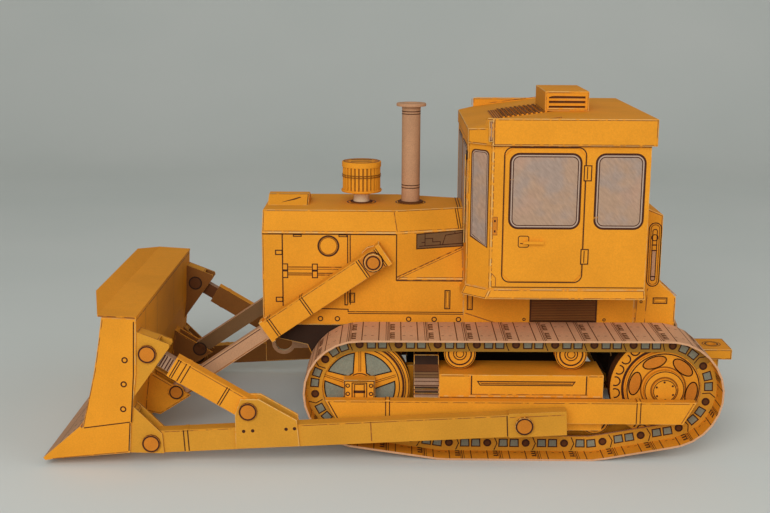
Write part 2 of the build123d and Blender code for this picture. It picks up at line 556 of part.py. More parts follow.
# Blade: box body with concave front, guard and cutting edge
blade_face = make_face(Curve() + [ThreePointArc(*BLADE_FRONT),
                                  Polyline(BLADE_FRONT[2], *BLADE_BACK, BLADE_FRONT[0])])
blade_cut = plate(blade_face, -2 * BLADE_HALF, 2 * BLADE_HALF)
save("blade", plate(blade_face, -BLADE_HALF, BLADE_HALF))
edge_l, edge_slope = along(BLADE_FRONT[2], EDGE_TIP)
edge = plate(Pos(*BLADE_FRONT[2]) * Rot(0, 0, edge_slope) * Pos(edge_l / 2, EDGE_T / 2)
             * Rectangle(edge_l, EDGE_T), -BLADE_HALF, BLADE_HALF)
save("cutting_edge", edge - blade_cut)


def make_guard():
    lift = [(x, z + GUARD_T) for x, z in reversed(GUARD)]
    guard = prism(GUARD + lift, -BLADE_HALF - GUARD_OVER, BLADE_HALF + GUARD_OVER)
    (x, z), y = GUARD[1], BLADE_HALF + GUARD_OVER
    wing = [(x, y, z), (x, y, z + GUARD_T), (x + WING_DX, y - WING_IN, z + WING_DZ),
            (x + WING_DX, y - WING_IN, z + WING_DZ + GUARD_T)]
    pts = wing + [(x, -y, z) for x, y, z in wing]
    faces = [(0, 1, 5, 4), (2, 3, 7, 6), (0, 2, 6, 4), (1, 3, 7, 5), (0, 1, 3, 2), (4, 5, 7, 6)]
    return guard + polyhedron(pts, faces) - blade_cut


save("blade_guard", make_guard())

# Push arms, with the eye for the pivot pin
arm_len, arm_slope = along(PIVOT, ARM_TIP)
arm = strut(PIVOT, ARM_TIP, -ARM_REAR, arm_len, ARM_H, ARM_IN, ARM_OUT)
arm += disc(ARM_TIP, ARM_H / 2, ARM_IN, ARM_OUT, SNIPS)
arm += strut(PIVOT, ARM_TIP, -ARM_REAR - SLEEVE_T, SLEEVE_L, ARM_H + 2 * SLEEVE_T, ARM_IN, ARM_OUT)
band_s = arm_len - BAND_BACK
arm += strut(PIVOT, ARM_TIP, band_s, band_s + RIB_W, ARM_H + RIB_T, ARM_IN, ARM_OUT)
save("push_arms", *pair(arm - disc(PIVOT, PIN_R + RUN, ARM_IN - 1, ARM_OUT + 1)))
pivot_pin = disc(PIVOT, PIN_R, FRAME_OUT + RAIL_W, ARM_OUT + CLEAR + RUN, TUBE_SNIPS)
pivot_pin += disc(PIVOT, HEAD_R, ARM_OUT + CLEAR, ARM_OUT + CLEAR + HEAD_T, SNIPS)
save("pivot_pins", *pair(pivot_pin))


# Lugs on the back of the blade: two plates with the arm or brace between them, and a web
def make_lug(points, web, planes):
    lug = prism(points, *planes[0]) + prism(points, *planes[1]) + prism(web, planes[0][0], planes[1][1])
    return lug - blade_cut


PLATES = ((ARM_IN - PLATE_T, ARM_IN), (ARM_OUT, ARM_OUT + PLATE_T))
save("arm_lugs", *pair(make_lug(ARM_LUG, ARM_WEB, PLATES)))
save("brace_lugs", *pair(make_lug(BRACE_LUG, BRACE_WEB, PLATES)))

# Braces from the arms up to the blade, with their rods
arm_angle = math.radians(arm_slope)
foot_s = arm_len - FOOT_BACK
BRACE_FOOT = (PIVOT[0] + foot_s * math.cos(arm_angle) - FOOT_UP * math.sin(arm_angle),
              PIVOT[1] + foot_s * math.sin(arm_angle) + FOOT_UP * math.cos(arm_angle))
brace_len, brace_slope = along(BRACE_FOOT, BRACE_TOP)
brace = strut(BRACE_FOOT, BRACE_TOP, 0, BRACE_L, BRACE_H, ARM_IN, ARM_OUT)
brace += disc(BRACE_FOOT, BRACE_H / 2, ARM_IN, ARM_OUT, SNIPS)
brace += strut(BRACE_FOOT, BRACE_TOP, BRACE_L - 4 * RIB_W, BRACE_L - 3 * RIB_W, BRACE_H + RIB_T,
               ARM_IN, ARM_OUT)
arm_solid = strut(PIVOT, ARM_TIP, -ARM_REAR, arm_len, ARM_H, ARM_IN - 1, ARM_OUT + 1)
save("braces", *pair(brace - arm_solid))
rod_y = (ARM_IN + BRACE_ROD_IN, ARM_OUT - BRACE_ROD_IN)
rod = strut(BRACE_FOOT, BRACE_TOP, BRACE_L, brace_len, BRACE_ROD_H, *rod_y)
rod += disc(BRACE_TOP, BRACE_ROD_H / 2, *rod_y, SNIPS)
save("brace_rods", *pair(rod - blade_cut))
save("gussets", *[p for y in PLATES for p in pair(prism(GUSSET, *y))])

heads = [disc(at, HEAD_R, PLATES[1][1], PLATES[1][1] + CAP_HEAD_T, SNIPS)
         for at in (ARM_TIP, BRACE_TOP, BRACE_FOOT)]
save("push_frame_pins", *[p for h in heads for p in pair(h)])

# Lift cylinder mounts on the hood sides, barrels, rods and their lugs on the blade
cyl_len, cyl_slope = along(CYL_TOP, CYL_FOOT)
by0, by1 = CYL_Y - BARREL_W / 2, CYL_Y + BARREL_W / 2
mount = disc(CYL_TOP, BOSS_R, BODY, by0 - CLEAR, SNIPS)
mount += disc(CYL_TOP, PIN_R, BODY, by1 + CLEAR + RUN, TUBE_SNIPS)
mount += disc(CYL_TOP, HEAD_R, by1 + CLEAR, by1 + CLEAR + HEAD_T, SNIPS)
save("cylinder_mounts", *pair(mount))

barrel = strut(CYL_TOP, CYL_FOOT, -BARREL_BACK, BARREL_L, BARREL_H, by0, by1)
for s in (-BARREL_BACK - COLLAR_L / 2, BARREL_L - COLLAR_L):
    barrel += strut(CYL_TOP, CYL_FOOT, s, s + COLLAR_L, BARREL_H + 2 * COLLAR_T, by0, by1)
barrel -= strut(CYL_TOP, CYL_FOOT, BORE_END, BARREL_L + 1, ROD_H + 2 * RUN,
                CYL_Y - ROD_W / 2 - RUN, CYL_Y + ROD_W / 2 + RUN)
barrel -= disc(CYL_TOP, PIN_R + RUN, by0 - 1, by1 + 1)
save("lift_barrel_left", barrel)
save("lift_barrel_right", mirror(barrel, about=Plane.XZ))

ry0, ry1 = CYL_Y - ROD_W / 2, CYL_Y + ROD_W / 2
ram = strut(CYL_TOP, CYL_FOOT, BARREL_L - ROD_IN, cyl_len, ROD_H, ry0, ry1)
ram += disc(CYL_FOOT, ROD_H / 2, ry0, ry1, SNIPS)
ram -= disc(CYL_FOOT, EYE_R + EYE_PLAY, ry0 - 1, ry1 + 1, TUBE_SNIPS)
save("lift_rod_left", ram)
save("lift_rod_right", mirror(ram, about=Plane.XZ))

LUG_PLANES = ((ry0 - CLEAR - PLATE_T, ry0 - CLEAR), (ry1 + CLEAR, ry1 + CLEAR + PLATE_T))
cyl_lug = make_lug(CYL_LUG, CYL_WEB, LUG_PLANES)
cyl_lug += disc(CYL_FOOT, EYE_R, LUG_PLANES[0][0], LUG_PLANES[1][1], SNIPS)
cyl_lug += disc(CYL_FOOT, EYE_HEAD_R, LUG_PLANES[1][1] - RUN, LUG_PLANES[1][1] + CAP_HEAD_T, SNIPS)
save("cylinder_lugs", *pair(cyl_lug))
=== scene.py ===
"""Folded-card model of a crawler bulldozer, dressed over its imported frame.

Properties are in metres. Plans of the printed card are in millimetres, with X told from the
point midway between the track wheels, Y to the machine's left and Z up, tracks on z = 0.
"""
import math

import bmesh
import bpy
from bpy.props import FloatProperty, FloatVectorProperty, IntProperty, PointerProperty
from mathutils import Euler, Matrix, Vector


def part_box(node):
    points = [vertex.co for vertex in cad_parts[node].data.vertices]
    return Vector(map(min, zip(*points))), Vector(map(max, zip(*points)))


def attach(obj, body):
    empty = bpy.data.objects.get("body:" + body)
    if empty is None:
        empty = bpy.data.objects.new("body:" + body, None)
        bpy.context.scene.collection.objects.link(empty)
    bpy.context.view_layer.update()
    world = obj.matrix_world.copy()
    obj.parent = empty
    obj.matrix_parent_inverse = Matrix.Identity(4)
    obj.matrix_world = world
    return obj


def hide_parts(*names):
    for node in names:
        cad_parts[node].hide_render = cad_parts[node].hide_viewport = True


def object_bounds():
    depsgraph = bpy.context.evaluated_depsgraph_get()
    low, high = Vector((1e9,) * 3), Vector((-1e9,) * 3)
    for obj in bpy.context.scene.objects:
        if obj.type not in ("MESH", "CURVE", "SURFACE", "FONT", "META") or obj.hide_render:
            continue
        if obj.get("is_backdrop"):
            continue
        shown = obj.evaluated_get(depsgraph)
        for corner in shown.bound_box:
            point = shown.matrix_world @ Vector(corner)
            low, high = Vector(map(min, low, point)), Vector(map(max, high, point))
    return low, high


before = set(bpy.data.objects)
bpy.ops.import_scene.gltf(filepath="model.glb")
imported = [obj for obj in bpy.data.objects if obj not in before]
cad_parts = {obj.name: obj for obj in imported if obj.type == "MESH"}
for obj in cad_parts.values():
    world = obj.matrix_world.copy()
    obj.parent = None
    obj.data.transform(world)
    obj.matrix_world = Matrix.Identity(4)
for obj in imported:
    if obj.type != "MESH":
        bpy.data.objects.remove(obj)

bl_info = {
    "name": "Card crawler bulldozer",
    "version": (1, 0, 0),
    "blender": (4, 5, 0),
    "location": "View3D > Sidebar > Card crawler",
    "description": "Dresses the packed crawler model as printed and folded card",
    "category": "Object",
}

MM = 0.001
CAD_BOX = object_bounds()
WHEEL_GAP_MID = 0.4       # middle of idler and sprocket, from the plans' X = 0
SIDES = (1, -1)
PRINT_LIFT = 0.03         # print stands this far off the card, on the plans
LEAST_WIDTH = 0.6         # edges of narrower faces stay sharp


def wheel_middle():
    """Frame place of the plans' X = 0, in metres."""
    mids = [sum((c.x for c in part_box(node))) / 2 for node in ("idlers", "sprockets")]
    return Vector((sum(mids) / 2 - WHEEL_GAP_MID * MM, 0, 0))


ORIGIN = wheel_middle()


def metres(point):
    return ORIGIN + Vector(point) * MM


def extent(node):
    """Lowest and highest corners of a frame piece on the plans, in millimetres."""
    low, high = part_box(node)
    return (low - ORIGIN) / MM, (high - ORIGIN) / MM


def middle_of(node):
    """Middle of a frame piece seen from the side, as its x and z on the plans."""
    low, high = extent(node)
    return (low.x + high.x) / 2, (low.z + high.z) / 2


def spoke(degrees):
    """Unit steps out from a wheel's middle at that angle, and square to it."""
    turn = math.radians(degrees)
    return Vector((math.cos(turn), math.sin(turn))), Vector((-math.sin(turn), math.cos(turn)))


# Properties


class CardColours(bpy.types.PropertyGroup):
    """Printing colours of the sheets."""

    yellow: FloatVectorProperty(name="Yellow", description="Main body colour", subtype="COLOR",
                                default=(0.82, 0.315, 0.020))
    orange: FloatVectorProperty(name="Orange", description="Shaded print inside wheels and folds",
                                subtype="COLOR", default=(0.62, 0.20, 0.018))
    olive: FloatVectorProperty(name="Olive", description="Link strips and arms", subtype="COLOR",
                               default=(0.66, 0.29, 0.026))
    tan: FloatVectorProperty(name="Tan", description="Bare metal print on shoes, rods and exhaust",
                             subtype="COLOR", default=(0.54, 0.29, 0.155))
    ink: FloatVectorProperty(name="Ink", description="Dark brown line print", subtype="COLOR",
                             default=(0.060, 0.018, 0.008))
    cut: FloatVectorProperty(name="Cut edge", description="Bare card where it was cut",
                             subtype="COLOR", default=(0.80, 0.62, 0.40))
    glass: FloatVectorProperty(name="Glass", description="Printed panes", subtype="COLOR",
                               default=(0.42, 0.27, 0.18))


class CardSizes(bpy.types.PropertyGroup):
    """Sizes of folds, lines and repeats."""

    fold_radius: FloatProperty(name="Fold radius", description="Rounding of a folded edge",
                               default=0.00022, unit="LENGTH")
    line: FloatProperty(name="Line", description="Width of a printed line", default=0.00034,
                        unit="LENGTH")
    shoes: IntProperty(name="Shoes", description="Shoes in one track", default=25, min=10)
    folds: IntProperty(name="Folds", description="Flat facets in one shoe", default=3, min=1)
    links: IntProperty(name="Links", description="Printed links in one track", default=23, min=10)
    drum_ribs: IntProperty(name="Drum ribs", description="Folded ribs round the pre-cleaner",
                           default=28, min=8)


class CardStage(bpy.types.PropertyGroup):
    """Camera, lamps and floor."""

    view_angle: FloatProperty(name="View angle", description="Width of the view", subtype="ANGLE",
                              default=2 * math.atan(770 / 2 / 1183.4))
    key: FloatProperty(name="Key lamp", description="Power of the large front lamp",
                       default=4.4, subtype="POWER")
    fill: FloatProperty(name="Fill lamp", description="Power of the side lamp",
                        default=1.3, subtype="POWER")
    sky: FloatProperty(name="Sky", description="Strength of the even light", default=0.35)


def colours():
    return bpy.context.scene.card_colours


def sizes():
    return bpy.context.scene.card_sizes


# Shader groups and materials


def new_group(title, tree_kind, inputs, outputs):
    """A node group and its two ends; each socket is given as name, kind and default."""
    tree = bpy.data.node_groups.new(title, tree_kind)
    for direction, sockets in (("INPUT", inputs), ("OUTPUT", outputs)):
        for name, kind, default in sockets:
            made = tree.interface.new_socket(name=name, in_out=direction,
                                             socket_type="NodeSocket" + kind)
            if default is not None:
                made.default_value = default
    return tree, add_node(tree, "NodeGroupInput").outputs, add_node(tree, "NodeGroupOutput").inputs


def add_node(tree, kind, **values):
    """A node with its own settings, and its inputs given by name or number."""
    node = tree.nodes.new(kind)
    inputs = values.pop("inputs", {})
    for key, value in values.items():
        setattr(node, key, value)
    for key, value in inputs.items():
        if isinstance(value, bpy.types.NodeSocket):
            tree.links.new(value, node.inputs[key])
        else:
            node.inputs[key].default_value = value
    return node


def noise(tree, vector, scale, detail=2.0, rough=0.5):
    return add_node(tree, "ShaderNodeTexNoise", inputs={
        "Vector": vector, "Scale": scale, "Detail": detail, "Roughness": rough}).outputs["Fac"]


def ramp(tree, value, low, high, to_low=0.0, to_high=1.0):
    """The value between low and high, spread to a new range."""
    return add_node(tree, "ShaderNodeMapRange", inputs={
        0: value, 1: low, 2: high, 3: to_low, 4: to_high}).outputs[0]


def calc(tree, operation, *values):
    inputs = dict(enumerate(values))
    return add_node(tree, "ShaderNodeMath", operation=operation, inputs=inputs).outputs[0]


def grey(tree, value):
    inputs = {0: value, 1: value, 2: value}
    return add_node(tree, "ShaderNodeCombineColor", inputs=inputs).outputs[0]


def blend_colours(tree, share, a, b, how="MIX"):
    return add_node(tree, "ShaderNodeMix", data_type="RGBA", blend_type=how,
                    inputs={0: share, 6: a, 7: b}).outputs[2]


def card_grain():
    """Node group: printed card with blotches, fine speckle and the height of its fibres."""
    tree = bpy.data.node_groups.get("card_grain")
    if tree:
        return tree
    inputs = [("Vector", "Vector", None), ("Colour", "Color", None),
              ("Blotch colour", "Color", None), ("Blotch", "Float", 0.5), ("Speckle", "Float", 0.2)]
    tree, given, result = new_group("card_grain", "ShaderNodeTree", inputs,
                                    [("Colour", "Color", None), ("Height", "Float", None)])
    broad = ramp(tree, noise(tree, given["Vector"], 55.0, 3.0), 0.38, 0.66)
    middle = ramp(tree, noise(tree, given["Vector"], 420.0, 3.0, 0.6), 0.35, 0.7, 0.0, 0.5)
    share = calc(tree, "MULTIPLY", calc(tree, "MAXIMUM", broad, middle), given["Blotch"])
    toned = blend_colours(tree, share, given["Colour"], given["Blotch colour"])
    speck = ramp(tree, noise(tree, given["Vector"], 2300.0, 1.0), 0.3, 0.7, -1.0, 1.0)
    gain = grey(tree, calc(tree, "MULTIPLY_ADD", speck, given["Speckle"], 1.0))
    tree.links.new(blend_colours(tree, 1.0, toned, gain, "MULTIPLY"), result["Colour"])
    squeeze = add_node(tree, "ShaderNodeMapping", inputs={
        "Vector": given["Vector"], "Scale": (1.0, 1.0, 0.35)}).outputs[0]
    tree.links.new(noise(tree, squeeze, 3200.0, 3.0, 0.7), result["Height"])
    return tree


def worn_print():
    """Node group: ink that lets the card below show where it is rubbed."""
    tree = bpy.data.node_groups.get("worn_print")
    if tree:
        return tree
    inputs = [("Vector", "Vector", None), ("Ink", "Color", None), ("Card", "Color", None),
              ("Wear", "Float", 0.3)]
    tree, given, result = new_group("worn_print", "ShaderNodeTree", inputs,
                                    [("Colour", "Color", None)])
    patches = noise(tree, given["Vector"], 420.0, 3.0, 0.6)
    above = calc(tree, "SUBTRACT", patches, calc(tree, "SUBTRACT", 0.78, given["Wear"]))
    bare = ramp(tree, above, -0.06, 0.06, 0.0, 0.85)
    tree.links.new(blend_colours(tree, bare, given["Ink"], given["Card"]), result["Colour"])
    return tree


def rgba(colour, gain=1.0):
    return (*[min(c * gain, 1.0) for c in colour], 1.0)


def matte(name, rough=0.72):
    """A new material with its Principled shader, and the object's own coordinates."""
    made = bpy.data.materials.new(name)
    made.use_nodes = True
    tree = made.node_tree
    shader = tree.nodes["Principled BSDF"]
    shader.inputs["Roughness"].default_value = rough
    shader.inputs["Specular IOR Level"].default_value = 0.12
    vector = add_node(tree, "ShaderNodeTexCoord").outputs["Object"]
    return made, tree, shader, vector


def printed_card(name, colour, second, blotch=0.5, speckle=0.05, rough=0.72):
    made, tree, shader, vector = matte(name, rough)
    grain = add_node(tree, "ShaderNodeGroup", node_tree=card_grain(), inputs={
        "Vector": vector, "Colour": colour, "Blotch colour": second, "Blotch": blotch,
        "Speckle": speckle})
    tree.links.new(grain.outputs["Colour"], shader.inputs["Base Color"])
    bump = add_node(tree, "ShaderNodeBump", inputs={
        "Strength": 0.35, "Distance": 0.00006, "Height": grain.outputs["Height"]})
    tree.links.new(bump.outputs[0], shader.inputs["Normal"])
    return made


def ink_line(name, ink, card, wear):
    made, tree, shader, vector = matte(name, 0.6)
    worn = add_node(tree, "ShaderNodeGroup", node_tree=worn_print(), inputs={
        "Vector": vector, "Ink": ink, "Card": card, "Wear": wear})
    tree.links.new(worn.outputs[0], shader.inputs["Base Color"])
    return made


def printed_glass(name, base, warm, cold):
    """A pane printed as scribbled reflections: cold and warm patches under slanted strokes."""
    made, tree, shader, vector = matte(name, 0.5)
    slant = (0.0, math.radians(-52), 0.0)
    turned = add_node(tree, "ShaderNodeMapping", vector_type="TEXTURE", inputs={
        "Vector": vector, "Rotation": slant, "Scale": (3.2, 1.0, 0.8)}).outputs[0]
    cool = ramp(tree, noise(tree, vector, 130.0, 3.0), 0.45, 0.62)
    toned = blend_colours(tree, cool, base, cold)
    toned = blend_colours(tree, ramp(tree, noise(tree, vector, 75.0, 2.0), 0.5, 0.68), toned, warm)
    streak = grey(tree, ramp(tree, noise(tree, turned, 1100.0, 3.0, 0.7), 0.3, 0.72, 0.84, 1.16))
    tree.links.new(blend_colours(tree, 1.0, toned, streak, "MULTIPLY"), shader.inputs["Base Color"])
    return made


def card_finishes():
    """Every finish of the model: what makes it, and with which colours and shares."""
    sheet = colours()
    yellow, orange, olive = rgba(sheet.yellow), rgba(sheet.orange), rgba(sheet.olive)
    tan, ink, cut, glass = rgba(sheet.tan), rgba(sheet.ink), rgba(sheet.cut), rgba(sheet.glass)
    card, line = printed_card, ink_line
    return {
        "yellow": (card, yellow, rgba(sheet.yellow, 0.80), 0.55),
        "orange": (card, orange, rgba(sheet.orange, 0.72), 0.6),
        "olive": (card, olive, rgba(sheet.olive, 0.80), 0.6),
        "shoe": (card, rgba(sheet.tan, 1.22), tan, 0.7, 0.08),
        "umber": (card, (0.21, 0.11, 0.045, 1), (0.15, 0.075, 0.03, 1), 0.7),
        "tan": (card, tan, rgba(sheet.tan, 0.78), 0.7, 0.08),
        "grey": (card, (0.40, 0.24, 0.15, 1), (0.27, 0.15, 0.09, 1), 0.7, 0.08),
        "dark": (card, (0.030, 0.014, 0.008, 1), (0.055, 0.026, 0.014, 1), 0.5),
        "brown": (card, (0.13, 0.045, 0.013, 1), (0.08, 0.028, 0.010, 1), 0.6),
        "shade": (card, (0.24, 0.090, 0.018, 1), (0.18, 0.065, 0.014, 1), 0.6),
        # link: the link strips' olive made darker, a painted shade for the links of the top run
        "link": (card, (0.40, 0.20, 0.028, 1), (0.32, 0.155, 0.022, 1), 0.6),
        "cut": (card, cut, rgba(sheet.cut, 0.75), 0.8),
        "pane": (card, (0.26, 0.26, 0.19, 1), (0.17, 0.18, 0.14, 1), 0.8, 0.10),
        "ink": (line, ink, yellow, 0.02),
        "fold": (line, (0.30, 0.10, 0.02, 1), yellow, 0.20),
        "soft": (line, rgba(sheet.orange, 0.42), orange, 0.12),
        "edge": (line, (0.74, 0.42, 0.13, 1), yellow, 0.25),
        "rim": (line, (0.46, 0.325, 0.245, 1), glass, 0.12),
        "glass": (printed_glass, glass, (0.45, 0.275, 0.19, 1), (0.365, 0.265, 0.21, 1)),
    }


def finish(name):
    """The material of that name, made once."""
    made = bpy.data.materials.get(name)
    if not made:
        make, *values = card_finishes()[name]
        made = make(name, *values)
    return made


# Meshes


def settle(piece, body, slot, *nodes):
    """The piece rides on its body and stands for frame pieces; its slot is not used."""
    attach(piece, body)
    if nodes:
        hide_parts(*nodes)
    return piece


def new_piece(name, mesh, finishes):
    piece = bpy.data.objects.new(name, mesh)
    bpy.context.scene.collection.objects.link(piece)
    for each in finishes:
        mesh.materials.append(finish(each))
    return piece


def from_bmesh(name, bm, finishes):
    mesh = bpy.data.meshes.new(name)
    bm.to_mesh(mesh)
    bm.free()
    return new_piece(name, mesh, finishes)


def card_body(node):
    """The frame piece's solid as clean flat faces, in a mesh that may be changed."""
    bm = bmesh.new()
    bm.from_mesh(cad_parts[node].data)
    bmesh.ops.remove_doubles(bm, verts=bm.verts, dist=2e-6)
    bmesh.ops.dissolve_limit(bm, angle_limit=math.radians(1.5), verts=bm.verts, edges=bm.edges)
    bm.normal_update()
    return bm


def mean_width(face):
    """Area of a face over half its outline, in millimetres."""
    return face.calc_area() / (sum(e.calc_length() for e in face.edges) / 2) / MM


def fold_edges(bm, radius, index, least=25):
    """Rounds the outward edges a little, and gives them the finish of that number."""
    sharp = [e for e in bm.edges if len(e.link_faces) == 2 and e.is_convex
             and e.calc_face_angle(0) > math.radians(least)
             and min(map(mean_width, e.link_faces)) > LEAST_WIDTH]
    bmesh.ops.bevel(bm, geom=sharp, offset=radius, offset_type="OFFSET", segments=2, profile=0.5,
                    affect="EDGES", clamp_overlap=True, material=index)
    bm.normal_update()


def folded(node, finishes=("yellow",), paint=None, body="chassis", slot="yellow_card"):
    """Stands a folded copy in a frame piece's place; paint gives a face its finish's number."""
    bm = card_body(node)
    for face in bm.faces:
        face.material_index = paint(face) if paint else 0
    fold_edges(bm, sizes().fold_radius, len(finishes))
    return settle(from_bmesh(node + "_card", bm, [*finishes, "edge"]), body, slot, node)


def rims(axis, least=0.7):
    """Paints 1 on faces that look away from the axis, as the cut rim of a plate does."""
    return lambda face: 0 if abs(face.normal[axis]) > least else 1


def inward(face):
    """Paints 1 on faces that look to the model's middle plane, which take a darker finish as
    painted shade.
    """
    y = face.calc_center_median().y
    return int(face.normal.y * y < -0.6 * abs(y))


def underneath(face):
    """Paints 1 on faces that look down, which take a dark painted shade."""
    return int(face.normal.z < -0.9)


def turned_disc(profile, count, axis="Z"):
    """A lathe form from (radius, height) steps, closed where the radius is nothing."""
    bm = bmesh.new()
    rows = []
    for radius, height in profile:
        if radius <= 0:
            rows.append([bm.verts.new((0, 0, height))])
            continue
        turns = [2 * math.pi * i / count for i in range(count)]
        rows.append([bm.verts.new((radius * math.cos(a), radius * math.sin(a), height))
                     for a in turns])
    for low, high in zip(rows, rows[1:]):
        for i in range(count):
            j = (i + 1) % count
            ring = [low[i % len(low)], low[j % len(low)], high[j % len(high)], high[i % len(high)]]
            bm.faces.new(list(dict.fromkeys(ring)))
    if axis == "Y":
        bmesh.ops.rotate(bm, verts=bm.verts, matrix=Matrix.Rotation(-math.pi / 2, 3, "X"))
    bmesh.ops.recalc_face_normals(bm, faces=bm.faces)
    return bm


def join_mirrored(bm):
    """Adds the other side's copy, and turns its faces outwards."""
    made = bmesh.ops.duplicate(bm, geom=bm.verts[:] + bm.edges[:] + bm.faces[:])["geom"]
    verts = [v for v in made if isinstance(v, bmesh.types.BMVert)]
    bmesh.ops.scale(bm, verts=verts, vec=(1, -1, 1))
    bmesh.ops.reverse_faces(bm, faces=[f for f in made if isinstance(f, bmesh.types.BMFace)])


def repeat_tree():
    """Node tree: sets one shape on every marked place, turned as the place says."""
    tree = bpy.data.node_groups.get("repeat_on_places")
    if tree:
        return tree
    inputs = [("Places", "Geometry", None), ("Shape", "Object", None), ("Finish", "Material", None)]
    tree, given, result = new_group("repeat_on_places", "GeometryNodeTree", inputs,
                                    [("Geometry", "Geometry", None)])
    shape = add_node(tree, "GeometryNodeObjectInfo", inputs={"Object": given["Shape"]})
    turn = add_node(tree, "GeometryNodeInputNamedAttribute", data_type="FLOAT_VECTOR",
                    inputs={"Name": "turn"})
    copies = add_node(tree, "GeometryNodeInstanceOnPoints", inputs={
        "Points": given["Places"], "Instance": shape.outputs["Geometry"],
        "Rotation": turn.outputs["Attribute"]})
    real = add_node(tree, "GeometryNodeRealizeInstances", inputs={"Geometry": copies.outputs[0]})
    coated = add_node(tree, "GeometryNodeSetMaterial", inputs={
        "Geometry": real.outputs[0], "Material": given["Finish"]})
    tree.links.new(coated.outputs[0], result["Geometry"])
    return tree


def repeated(name, shape, places, finish_name, mirrored=False):
    """One mesh with the shape on each place, a place being a Matrix in metres."""
    mesh = bpy.data.meshes.new(name)
    mesh.from_pydata([m.to_translation() for m in places], [], [])
    turns = mesh.attributes.new("turn", "FLOAT_VECTOR", "POINT")
    turns.data.foreach_set("vector", [a for m in places for a in m.to_euler()])
    pattern = from_bmesh(name + "_shape", shape, [])
    piece = new_piece(name, mesh, [])
    modifier = piece.modifiers.new("repeat", "NODES")
    modifier.node_group = repeat_tree()
    values = {"Shape": pattern, "Finish": finish(finish_name)}
    for socket in modifier.node_group.interface.items_tree:
        if socket.name in values:
            modifier[socket.identifier] = values[socket.name]
    bpy.context.view_layer.update()
    made = piece.evaluated_get(bpy.context.evaluated_depsgraph_get())
    result = bpy.data.meshes.new_from_object(made)
    piece.modifiers.remove(modifier)
    piece.data = result
    bpy.data.objects.remove(pattern)
    if mirrored:
        bm = bmesh.new()
        bm.from_mesh(result)
        join_mirrored(bm)
        bm.to_mesh(result)
        bm.free()
    return piece


# Printing


class Sheet:
    """A flat face of card to print on; places on it are millimetres across and up."""

    def __init__(self, origin, across, up, out):
        self.origin, self.across = Vector(origin), Vector(across).normalized()
        up = Vector(up)
        self.up = (up - self.across * up.dot(self.across)).normalized()
        self.out = self.across.cross(self.up)
        if self.out.dot(Vector(out)) < 0:
            self.out = -self.out

    def place(self, point, lift):
        return metres(self.origin + self.across * point[0] + self.up * point[1] + self.out * lift)

    def raised(self, height):
        """The same sheet, moved out by the height."""
        return Sheet(self.origin + self.out * height, self.across, self.up, self.out)


def side_sheet(y):
    return Sheet((0, y, 0), (1, 0, 0), (0, 0, 1), (0, y, 0))


def outer_sheet(node, side, inset=0.0):
    """The outermost face of a frame piece on one side of the model, or a face so far inside it."""
    return side_sheet(side * (extent(node)[1].y - inset))


def inner_sheet(y):
    """The side of a plate that looks to the model's middle."""
    return Sheet((0, y, 0), (1, 0, 0), (0, 0, 1), (0, -y, 0))


def top_sheet(z):
    return Sheet((0, 0, z), (1, 0, 0), (0, 1, 0), (0, 0, 1))


def end_sheet(x, out=1):
    return Sheet((x, 0, 0), (0, 1, 0), (0, 0, 1), (out, 0, 0))


def strut_sheet(start, end, y):
    """The side of a strut: across runs along it from start, up is square to it."""
    run = (end[0] - start[0], 0, end[1] - start[1])
    return Sheet((start[0], y, start[1]), run, (0, 0, 1), (0, y, 0))


def rounded(x0, x1, z0, z1, radius, steps=6):
    """Outline of a rectangle with round corners."""
    points = []
    for cx, cz, start in ((x1 - radius, z1 - radius, 0), (x0 + radius, z1 - radius, 90),
                          (x0 + radius, z0 + radius, 180), (x1 - radius, z0 + radius, 270)):
        for i in range(steps + 1):
            angle = math.radians(start + 90 * i / steps)
            points.append((cx + radius * math.cos(angle), cz + radius * math.sin(angle)))
    return points


def arc(centre, radius, start, end, count=24):
    angles = [math.radians(start + (end - start) * i / count) for i in range(count + 1)]
    return [(centre[0] + radius * math.cos(a), centre[1] + radius * math.sin(a)) for a in angles]


def on_sides(mid, normal):
    """Keeps fold lines on faces that look to the sides."""
    return abs(normal.y) > 0.9


